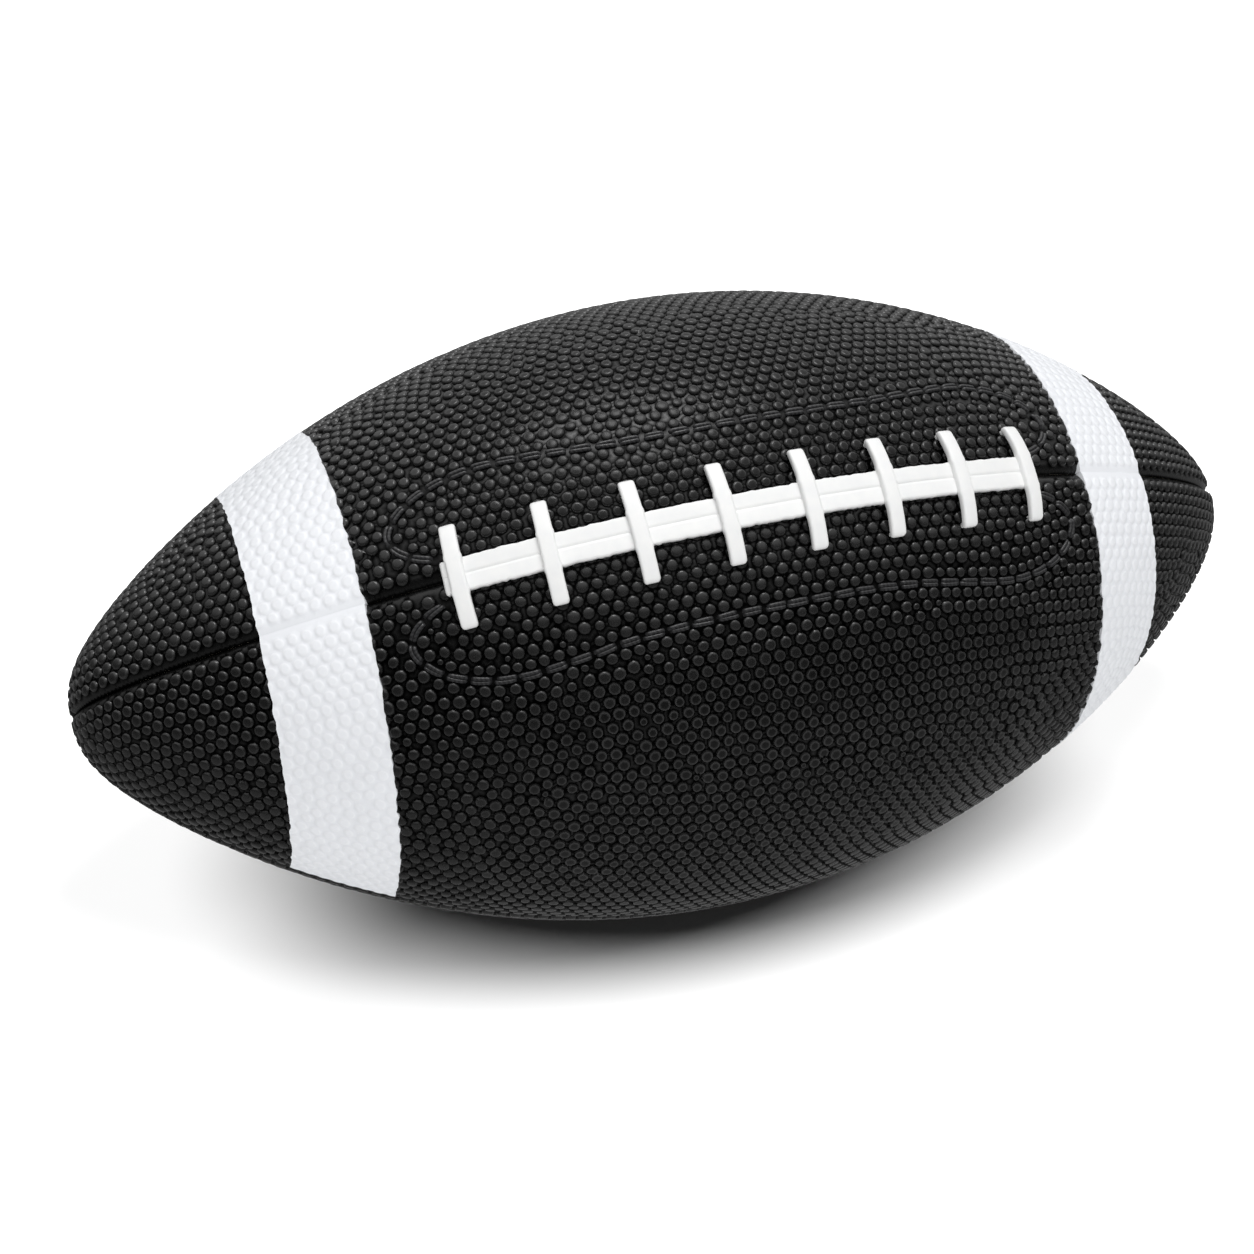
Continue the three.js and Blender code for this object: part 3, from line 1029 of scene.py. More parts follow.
@dataclass
class Sheet:
    """Points on the ball, with their heights, and the triangles between them."""

    arc: Array
    angle: Array
    height: Array
    relief: Array
    faces: Array = field(default_factory=lambda: np.zeros((0, 3), int))

    def values(self) -> tuple[Array, Array, Array, Array]:
        """Gives arc, angle, height and relief of the points."""
        return self.arc, self.angle, self.height, self.relief

    @staticmethod
    def joined(sheets: list["Sheet"]) -> "Sheet":
        """Puts the points of several sheets into one, without triangles."""
        return Sheet(*(np.concatenate(parts) for parts in zip(*(sheet.values() for sheet in sheets))))

    def pick(self, chosen: Array | slice) -> "Sheet":
        """Gives the chosen points, without triangles."""
        return Sheet(*(numbers[chosen] for numbers in self.values()))

    def rim(self) -> Array:
        """Finds the edges that only one triangle has.

        Returns:
            Two vertex numbers for each edge, in the triangle's order.
        """
        edges = np.concatenate([self.faces[:, [0, 1]], self.faces[:, [1, 2]], self.faces[:, [2, 0]]])
        count = len(self.arc)
        codes = edges[:, 0] * count + edges[:, 1]
        mirrored = edges[:, 1] * count + edges[:, 0]
        return edges[~np.isin(codes, mirrored)]


@dataclass(frozen=True)
class PebbleKind:
    """How high a pebble is and how light it is painted, from its top over its rings to its foot: painted
    shade at the foot, and on flat pebbles a painted highlight on the rim.

    The base relief says how light the bare rubber round it is painted.
    """

    heights: tuple[float, ...]
    reliefs: tuple[float, ...]
    base_relief: float


@dataclass
class Panel:
    """A moulded panel with real pebbles, and its white stripes if it meets the lace seam."""

    form: BallForm
    stitch_line: StitchLine
    place: PanelPlace
    rng: np.random.Generator
    pebble_height: float = 0.72 * MM
    tip_share: float = 0.6
    low_radii: tuple[float, float] = (8 * MM, 45 * MM)
    ring_shares: tuple[float, ...] = (0.54, 0.84, 1.0)
    ring_counts: tuple[int, ...] = (6, 10, 10)
    # Painted light: each kind's reliefs paint shade at the foot, the flat kind's lighter rim is a painted
    # highlight, and each kind's tones copy how light falls there
    flat_pebble: PebbleKind = PebbleKind((0.96, 0.98, 0.92, -0.06), (0.065, 0.075, 0.8, 0.0), 0.1)
    domed_pebble: PebbleKind = PebbleKind((1.0, 0.94, 0.74, -0.06), (0.3, 0.29, 0.28, 0.0), 0.09)
    rear_pebble: PebbleKind = PebbleKind((0.85, 0.82, 0.68, -0.06), (0.04, 0.05, 0.27, 0.0), 0.065)
    tip_pebble: PebbleKind = PebbleKind((1.0, 0.97, 0.82, -0.06), (0.11, 0.13, 0.36, 0.0), 0.06)
    pressed_sides: tuple[tuple[int, float], ...] = ((2, 0.13), (3, 0.08))
    tall_spread: tuple[float, float] = (0.92, 1.0)
    tall_power: float = 0.7
    least_tall: float = 0.4
    tip_from: float = 46 * MM
    tip_full: float = 78 * MM
    # Relief of the painted shade beside the stitch line, and how far that shade reaches
    painted_stitch_shade: float = 0.04
    swollen_until: float = 18 * MM
    flat_from: float = 34 * MM
    swollen_growth: float = 0.18
    rear_swelling: float = 0.7
    front_loose: float = 0.15
    rear_loose: float = 0.2
    pebble_clearance: float = 0.12 * MM
    stitch_margin: float = 0.8 * MM
    stitch_shade: float = 1.2 * MM
    line_thinning: int = 3
    smallest_pebble: float = 0.62 * MM
    seam_gap: float = 0.12 * MM
    valley_width: float = 2.3 * MM
    valley_turn: float = 0.3
    valley_depth: float = 1.3 * MM
    valley_fade: float = 2.5 * MM
    valley_rows: tuple[float, ...] = (0.16, 0.4, 0.68, 1.0)
    valley_step: float = 1.15 * MM
    valley_tip: float = 4
    filler_step: float = 1.35 * MM
    filler_loose: float = 0.2
    filler_margin: float = 1.25
    filler_end: float = 4 * MM
    hollow_margin: float = 0.16 * MM
    tip_radius: float = 0.9 * MM
    thickness: float = 2.7 * MM
    laced_thickness: float = 1.9 * MM
    lining_step: float = 8 * MM
    lining_margin: float = 3 * MM
    stripe_from: float = 80.5 * MM
    stripe_to: float = 101 * MM
    stripe_skin: float = 0.1 * MM
    stripe_fill: float = 0.74
    stripe_step: float = 0.75 * MM
    stripe_waver: float = 0.16 * MM
    valve_hole: float = 4.15 * MM
    valve_collar: float = 5.6 * MM
    valve_bare: float = 6.6 * MM
    collar_height: float = 0.35 * MM
    collar_width: float = 0.55 * MM
    # Rings round the valve hole, by their share of its radius and how many points each has
    valve_rings: tuple[tuple[float, int], ...] = (
        (1.0, 40), (1.07, 40), (1.17, 40), (1.27, 40), (1.37, 40), (1.48, 36),
    )
    # Shares of the hole's radius within which there is no triangle, no lining point and no filler
    hole_share: float = 0.985
    lining_share: float = 1.3
    filler_share: float = 1.55
    pebbles: PebbleField = field(init=False, repr=False)
    borders: list[Sheet] = field(init=False, repr=False)

    def build(self, rubber: bpy.types.Material, white: bpy.types.Material) -> None:
        """Builds the panel and its stripes.

        Args:
            rubber: The panel's finish.
            white: The stripes' finish.
        """
        node = self.place.node
        self.pebbles = self.lay_pebbles()
        self.borders = self.stripe_borders() if self.place.laced else []
        sheet = self.outside()
        points, faces, relief = self.closed(sheet)
        make_piece(f"{node}_pebbled", points, faces, rubber, node, "cover_rubber", relief=relief)
        for end, left, right in zip(("left", "right"), self.borders[::2], self.borders[1::2]):
            stripe = f"stripe_{end}_{self.place.side}"
            points, faces, relief = self.stripe_band(sheet, left, right)
            make_piece(f"{stripe}_skin", points, faces, white, stripe, "stripe_rubber", relief=relief)

    @property
    def has_valve(self) -> bool:
        """Whether the valve is in this panel."""
        return self.place is PanelPlace.PLAIN_REAR

    def from_valve(self, arc: Array, angle: Array) -> Array:
        """Measures how far points lie from the valve's middle."""
        return np.hypot(arc, self.form.radius(arc) * (angle - self.form.valve_angle))

    def off_valve(self, arc: Array, angle: Array, share: float) -> Array:
        """Tells which points are further from the valve's middle than this share of its hole's radius."""
        return self.from_valve(arc, angle) > share * self.valve_hole

    def valley_span(self, arc: Array) -> Array:
        """Gives the angle that a seam valley takes up on this panel at these arcs."""
        return np.minimum(self.valley_width / self.form.radius(arc), self.valley_turn)

    def lay_pebbles(self) -> PebbleField:
        """Lays the pebbles and clears the places that stay bare.

        Returns:
            The panel's pebbles.
        """
        line, bare = None, []
        if self.place.laced:
            arc, angle = self.stitch_line.points(1 if self.place is PanelPlace.LACING_FRONT else -1)
            line = arc[::self.line_thinning], angle[::self.line_thinning] + self.place.lace_seam
            bare.append((*line, self.stitch_margin))
        elif self.has_valve:
            bare.append((np.array([0.0]), np.array([self.form.valve_angle]), self.valve_bare))
        loose = self.rear_loose if self.place is PanelPlace.LACING_REAR else self.front_loose
        pebbles = PebbleField(self.form, self.place.start, self.rng, line, loose_inside=loose)
        for arc, angle, margin in bare:
            pebbles.clear_line(arc, angle, margin, self.smallest_pebble)
        swelling = self.swelling(pebbles.arc, pebbles.angle)
        pebbles.reach = pebbles.reach * (1 + self.swollen_growth * swelling)
        pebbles.part(self.pebble_clearance)
        pebbles.fill_gaps(bare, self.pebble_clearance, self.smallest_pebble)
        return pebbles

    def swelling(self, arc: Array, angle: Array) -> Array:
        """Tells how far the cover swells at each point, from 1 beside the laces to 0 far off.

        Args:
            arc: Arc of each point.
            angle: Angle of each point.

        Returns:
            The share of the swelling.
        """
        if not self.place.laced:
            return np.zeros(len(arc))
        inside = angle - self.place.start
        if self.place is PanelPlace.LACING_REAR:
            inside = QUARTER - inside
        away = self.form.radius(arc) * inside
        swollen = np.clip((self.flat_from - away) / (self.flat_from - self.swollen_until), 0, 1)
        return np.maximum(swollen, self.rear_swelling) if self.place is PanelPlace.LACING_REAR else swollen

    def kinds(self, arc: Array, angle: Array) -> dict[PebbleKind, Array]:
        """Tells which kinds of pebble stand where.

        The tips and the rear lacing panel have their own. Others are domed beside the laces and flat far off.

        Args:
            arc: Arc of each point.
            angle: Angle of each point.

        Returns:
            The share of each kind at each point.
        """
        tip = np.clip((np.abs(arc) - self.tip_from) / (self.tip_full - self.tip_from), 0, 1)
        if self.place is PanelPlace.LACING_REAR:
            return {self.tip_pebble: tip, self.rear_pebble: 1 - tip}
        domed = (1 - tip) * self.swelling(arc, angle)
        return {self.tip_pebble: tip, self.domed_pebble: domed, self.flat_pebble: 1 - tip - domed}

    def base(self, arc: Array, angle: Array) -> Array:
        """Gives the height of the bare panel between its pebbles.

        Args:
            arc: Arc of each point.
            angle: Angle of each point.

        Returns:
            Height over the outline: lower in the seam valleys, higher on the valve's collar.
        """
        radius = self.form.radius(arc)
        inside = angle - self.place.start
        across = radius * np.minimum(inside, QUARTER - inside)
        rise = np.clip(across / np.minimum(self.valley_width, self.valley_turn * radius), 0, 1)
        depth = self.valley_depth * np.clip(radius / self.valley_fade, 0, 1)
        height = -self.relief_height(arc) - depth * (1 - rise) ** 2
        ridge = (self.valve_hole + self.valve_collar) / 2
        off = (self.from_valve(arc, angle) - ridge) / self.collar_width
        return height + self.collar_height * np.exp(-(off ** 2))

    def pebble_sheet(self) -> Sheet:
        """Gives the points of all pebbles: a top, and rings down to the foot.

        Returns:
            The points, without triangles.
        """
        pebbles, count = self.pebbles, len(self.pebbles.arc)
        turn = self.rng.uniform(0, FULL_TURN, (count, 1))
        shares, angles = [np.zeros(1)], [np.zeros(1)]
        for share, sides in zip(self.ring_shares, self.ring_counts):
            shares.append(np.full(sides, share))
            angles.append(FULL_TURN * np.arange(sides) / sides)
        share, spin = np.concatenate(shares)[None], np.concatenate(angles)[None] + turn
        reach = pebbles.reach[:, None] * share * self.roundness(spin)
        arc = pebbles.arc[:, None] + reach * np.cos(spin)
        angle = pebbles.angle[:, None] + reach * np.sin(spin) / self.form.radius(arc)
        tall = np.clip(pebbles.reach / pebbles.size, self.least_tall, 1)[:, None] ** self.tall_power
        tall = tall * self.rng.uniform(*self.tall_spread, (count, 1))
        kinds = self.kinds(pebbles.arc, pebbles.angle).items()
        height = sum(part[:, None] * self.profile(share, kind.heights) for kind, part in kinds)
        relief = sum(part[:, None] * self.profile(share, kind.reliefs) for kind, part in kinds)
        height, relief, arc, angle = (tall * height).ravel(), relief.ravel(), arc.ravel(), angle.ravel()
        height = self.base(arc, angle) + self.relief_height(arc) * height
        return Sheet(arc, angle, height, relief)

    def roundness(self, spin: Array) -> Array:
        """Gives the share of its full reach that a pebble has in each direction, since none is quite round.

        Args:
            spin: The directions, a row for each pebble.

        Returns:
            The shares, less than 1 where a pebble is pressed in.
        """
        share = np.ones_like(spin)
        for sides, most in self.pressed_sides:
            start, depth = self.rng.uniform(0, ((FULL_TURN,), (most,)), (2, len(spin)))[..., None]
            share -= depth * (1 + np.cos(sides * spin + start)) / 2
        return share

    def relief_height(self, arc: Array) -> Array:
        """Gives the full height of a pebble at these arcs, which is less towards the tips."""
        return self.pebble_height * np.interp(self.form.radius(arc), self.low_radii, (self.tip_share, 1))

    def profile(self, share: Array, values: tuple[float, ...]) -> Array:
        """Gives a pebble's height or relief at a share of its reach, from its values at top and rings."""
        return np.interp(share, (0, *self.ring_shares), values)

    def bare(self, arc: Array, angle: Array, relief: float | None = None) -> Sheet:
        """Gives points on the bare panel, without triangles.

        Args:
            arc: Arc of each point.
            angle: Angle of each point.
            relief: How light the rubber is painted there, if it isn't as light as round the pebbles.

        Returns:
            The points.
        """
        value = sum(part * kind.base_relief for kind, part in self.kinds(arc, angle).items())
        if relief is not None:
            value = np.full(len(arc), relief)
        return Sheet(arc, angle, self.base(arc, angle), value)

    def stripe_borders(self) -> list[Sheet]:
        """Draws the four edges of the stripes across a lacing panel.

        Returns:
            The edges from left to right, each running from the panel's first seam to its second.
        """
        borders = []
        for x in (-self.stripe_to, -self.stripe_from, self.stripe_from, self.stripe_to):
            arc = float(self.form.arc_at(x))
            radius = float(self.form.radius(arc))
            margin = self.seam_gap / 2 / radius
            count = int(radius * QUARTER / self.stripe_step)
            angle = self.place.start + np.linspace(margin, QUARTER - margin, count)
            waver = self.rng.normal(0, self.stripe_waver, count)
            arcs = arc + (waver + np.roll(waver, 1)) / 2
            borders.append(Sheet(arcs, angle, np.zeros(count), np.zeros(count)))
        return borders

    def lift_borders(self) -> None:
        """Lays the stripes' edges over the pebbles that they cross."""
        pebbles = self.pebbles
        for border in self.borders:
            radius = self.form.radius(border.arc)[:, None]
            around = radius * (border.angle[:, None] - pebbles.angle[None])
            share = np.hypot(border.arc[:, None] - pebbles.arc[None], around) / pebbles.reach[None]
            rise = np.maximum(self.profile(share.min(axis=1), self.flat_pebble.heights), 0)
            border.relief = np.full(len(rise), self.flat_pebble.base_relief)
            border.height = self.base(border.arc, border.angle) + self.relief_height(border.arc) * rise

    def edge_sheet(self, side: int) -> Sheet:
        """Gives the points along one seam, with the ends of the stripes' edges among them.

        Args:
            side: 0 for the panel's first seam, -1 for its second.

        Returns:
            The points from the left tip to the right tip, without triangles.
        """
        end = self.form.left_arc(self.tip_radius)
        arc = np.linspace(end, -end, int(-2 * end / self.valley_step))
        ends = np.array([border.arc[side] for border in self.borders])
        if len(ends):
            arc = arc[np.abs(arc[:, None] - ends[None]).min(axis=1) > self.valley_step / 3]
            arc = np.sort(np.concatenate([arc, ends]))
        margin = self.seam_gap / 2 / self.form.radius(arc)
        angle = self.place.start + (margin if side == 0 else QUARTER - margin)
        # Relief 0 paints shade into the seam's crease
        return self.bare(arc, angle, 0.0)

    def valley_sheet(self) -> Sheet:
        """Gives the points on the sides of both seam valleys.

        Returns:
            The points, without triangles.
        """
        end = self.form.left_arc(self.valley_tip * self.tip_radius)
        arcs, angles = [], []
        for number, share in enumerate(self.valley_rows):
            for side in (0, 1):
                shift = 0.5 * self.valley_step * ((number + side) % 2)
                arc = np.arange(end, -end, self.valley_step) + shift
                turn = share * self.valley_span(arc)
                arcs.append(arc)
                angles.append(self.place.start + (turn if side == 0 else QUARTER - turn))
        arc, angle = np.concatenate(arcs), np.concatenate(angles)
        free = self.pebbles.clear_of(arc, angle, self.valley_step / 5)
        return self.bare(arc[free], angle[free])

    def valve_sheet(self) -> tuple[Sheet, int]:
        """Gives the points round the valve hole.

        Returns:
            The points, without triangles, and how many of them, counted from the first, edge the hole.
        """
        arcs, angles = [], []
        for number, (share, sides) in enumerate(self.valve_rings):
            spin = FULL_TURN * (np.arange(sides) + 0.5 * (number % 2)) / sides
            arc = self.valve_hole * share * np.cos(spin)
            arcs.append(arc)
            beside = self.valve_hole * share * np.sin(spin)
            angles.append(self.form.valve_angle + beside / self.form.radius(arc))
        return self.bare(np.concatenate(arcs), np.concatenate(angles)), self.valve_rings[0][1]

    def filler_sheet(self) -> Sheet:
        """Gives points for the bare places that are wider than the strips between pebbles.

        Returns:
            The points, without triangles.
        """
        pebbles, end = self.pebbles, self.form.arcs[-1] - self.filler_end
        rows = np.arange(-end, end, self.filler_step)
        margins = self.filler_margin * self.valley_span(rows)
        arc, angle = self.form.rows(self.place.start, rows, margins, self.filler_step)
        arc = arc + self.rng.uniform(-self.filler_loose, self.filler_loose, len(arc)) * self.filler_step
        free = pebbles.clear_of(arc, angle, self.filler_step / 2)
        hollow_arc, hollow_angle = pebbles.hollows(self.hollow_margin)
        arc, angle = np.append(arc[free], hollow_arc), np.append(angle[free], hollow_angle)
        free = self.off_valve(arc, angle, self.filler_share)
        filler = self.bare(arc[free], angle[free])
        # Painted shade: the bare rubber beside the stitch line is darkened
        if pebbles.line is not None:
            away = pebbles.distance_to(filler.arc, filler.angle, *pebbles.line)
            filler.relief[away < self.stitch_shade] = self.painted_stitch_shade
        return filler

    def outside(self) -> Sheet:
        """Meshes the outside of the panel.

        Returns:
            The points and triangles of the outside.
        """
        self.lift_borders()
        low, high = (self.edge_sheet(side) for side in (0, -1))
        rest = Sheet.joined([self.pebble_sheet(), self.valley_sheet(), self.filler_sheet()])
        fixed = [low, high]
        first = len(low.arc) + len(high.arc)
        edges = linked([*range(len(low.arc)), *reversed(range(len(low.arc), first))])
        for border in self.borders:
            inner = border.pick(slice(1, -1))
            ends = [np.abs(edge.arc - border.arc[side]).argmin() for edge, side in ((low, 0), (high, -1))]
            numbers = range(first, first + len(inner.arc))
            edges += linked([ends[0], *numbers, len(low.arc) + ends[1]])[:-1]
            fixed.append(inner)
            first += len(inner.arc)
        if self.has_valve:
            ring, hole = self.valve_sheet()
            edges += linked([*range(first, first + hole)])
            fixed.append(ring)
        held = Sheet.joined(fixed)
        free = self.apart(rest)
        numbers = np.where(free, len(held.arc) + np.cumsum(free) - 1, -1)
        edges += self.foot_edges(numbers)
        whole = Sheet.joined([held, rest.pick(free)])
        whole.faces = self.triangles(whole, edges)
        return whole

    def foot_edges(self, numbers: Array) -> list[list[int]]:
        """Lists the edges round the pebbles' feet, except beside the stripes' edges.

        Args:
            numbers: Vertex number of each of the pebbles' points, or -1 for those left out.

        Returns:
            Two vertex numbers for each edge.
        """
        pebbles = self.pebbles
        each, sides = 1 + sum(self.ring_counts), self.ring_counts[-1]
        feet = numbers[: each * len(pebbles.arc)].reshape(-1, each)[:, -sides:]
        whole = (feet >= 0).all(axis=1)
        for border in self.borders:
            at = np.interp(pebbles.angle, border.angle, border.arc)
            whole &= np.abs(pebbles.arc - at) > pebbles.reach + self.stripe_step
        feet = feet[whole]
        return np.stack([feet, np.roll(feet, -1, axis=1)], axis=-1).reshape(-1, 2).tolist()

    def apart(self, sheet: Sheet) -> Array:
        """Tells which points keep clear of the seams and of the stripes' edges.

        Args:
            sheet: The points.

        Returns:
            One truth value for each point.
        """
        radius = self.form.radius(sheet.arc)
        inside = sheet.angle - self.place.start
        free = radius * np.minimum(inside, QUARTER - inside) > 1.5 * self.seam_gap
        for border in self.borders:
            at = np.interp(sheet.angle, border.angle, border.arc)
            free &= np.abs(sheet.arc - at) > self.stripe_step / 3
        return free

    def triangles(self, sheet: Sheet, edges: list[list[int]]) -> Array:
        """Joins points on the ball by well-shaped triangles.

        Args:
            sheet: The points.
            edges: Pairs of points that have to be joined, with a closed loop round all of them.

        Returns:
            Three vertex numbers for each triangle, counted so that it faces outwards.
        """
        chart = self.form.flat(sheet.arc, sheet.angle)
        joined = geometry.delaunay_2d_cdt([Vector(point) for point in chart], edges, [], 1, TINY)
        origins = np.array([origin[0] if origin else -1 for origin in joined[3]])
        faces = origins[np.array(joined[2])]
        faces = faces[(faces >= 0).all(axis=1)]
        corner = chart[faces]
        one, two = corner[:, 1] - corner[:, 0], corner[:, 2] - corner[:, 0]
        # On the chart, seen from outside the ball, the arc runs right and the angle runs down
        inward = one[:, 0] * two[:, 1] - one[:, 1] * two[:, 0] > 0
        faces[inward] = faces[inward][:, ::-1]
        arc, angle = sheet.arc[faces].mean(axis=1), sheet.angle[faces].mean(axis=1)
        return faces[self.off_valve(arc, angle, self.hole_share)]

    def closed(self, sheet: Sheet) -> tuple[Array, list[list[int]], Array]:
        """Gives the panel its thickness: walls down from the rim of its outside, and a plain inside.

        Args:
            sheet: The outside.

        Returns:
            Points, faces and the relief of each point.
        """
        rim = sheet.rim()
        corners = np.unique(rim)
        count = len(sheet.arc)
        lower = np.full(count, -1)
        lower[corners] = count + np.arange(len(corners))
        walls = np.stack([rim[:, 1], rim[:, 0], lower[rim[:, 0]], lower[rim[:, 1]]], axis=1)
        end = self.form.arcs[-1] - self.lining_step
        rows = np.arange(-end, end, self.lining_step)
        margins = self.lining_margin / self.form.radius(rows)
        arc, angle = self.form.rows(self.place.start, rows, margins, self.lining_step, 1)
        free = self.off_valve(arc, angle, self.lining_share)
        arc, angle = np.append(sheet.arc[corners], arc[free]), np.append(sheet.angle[corners], angle[free])
        depth = self.laced_thickness if self.place.laced else self.thickness
        lining = Sheet(arc, angle, np.full(len(arc), -depth), np.zeros(len(arc)))
        lining.faces = self.triangles(lining, (lower[rim] - count).tolist())
        points = np.concatenate([self.form.place(*part.values()[:3]) for part in (sheet, lining)])
        faces = sheet.faces.tolist() + walls.tolist() + (lining.faces[:, ::-1] + count).tolist()
        return points, faces, np.concatenate([sheet.relief, lining.relief])

    def stripe_band(self, sheet: Sheet, left: Sheet, right: Sheet) -> tuple[Array, list[list[int]], Array]:
        """Lifts the stripe's white skin off the panel: it part fills the hollows and meets at the lace seam.

        Args:
            sheet: The panel's outside.
            left: The stripe's left edge.
            right: The stripe's right edge.

        Returns:
            Points, faces and the relief of each point.
        """
        arc, angle = sheet.arc[sheet.faces].mean(axis=1), sheet.angle[sheet.faces].mean(axis=1)
        within = arc > np.interp(angle, left.angle, left.arc)
        within &= arc < np.interp(angle, right.angle, right.arc)
        corners, flat = np.unique(sheet.faces[within], return_inverse=True)
        skin = sheet.pick(corners)
        skin.faces = flat.reshape(-1, 3)
        count = len(corners)
        rim = skin.rim()
        walls = np.stack([rim[:, 1], rim[:, 0], rim[:, 0] + count, rim[:, 1] + count], axis=1)
        off_seam = skin.angle - self.place.lace_seam
        at_seam = np.abs(off_seam) * self.form.radius(skin.arc) < self.seam_gap
        angle = np.where(at_seam, self.place.lace_seam + off_seam / 10, skin.angle)
        fill = -self.stripe_fill * skin.height
        points = np.concatenate([
            self.form.place(skin.arc, angle, skin.height + fill + self.stripe_skin),
            self.form.place(skin.arc, skin.angle, skin.height + self.stripe_skin / 10),
        ])
        faces = skin.faces.tolist() + walls.tolist() + (skin.faces[:, ::-1] + count).tolist()
        return points, faces, np.concatenate([skin.relief, skin.relief])


@dataclass
class Cover:
    """The four panels of the cover, with the white stripes on the two lacing panels."""

    form: BallForm
    stitch_line: StitchLine
    rng: np.random.Generator = field(default_factory=lambda: np.random.default_rng(SEED))

    def build(self) -> None:
        """Builds all panels and stripes."""
        rubber, white = PANEL_RUBBER.material(), STRIPE_RUBBER.material()
        for place in PanelPlace:
            Panel(self.form, self.stitch_line, place, self.rng).build(rubber, white)


# Lacing


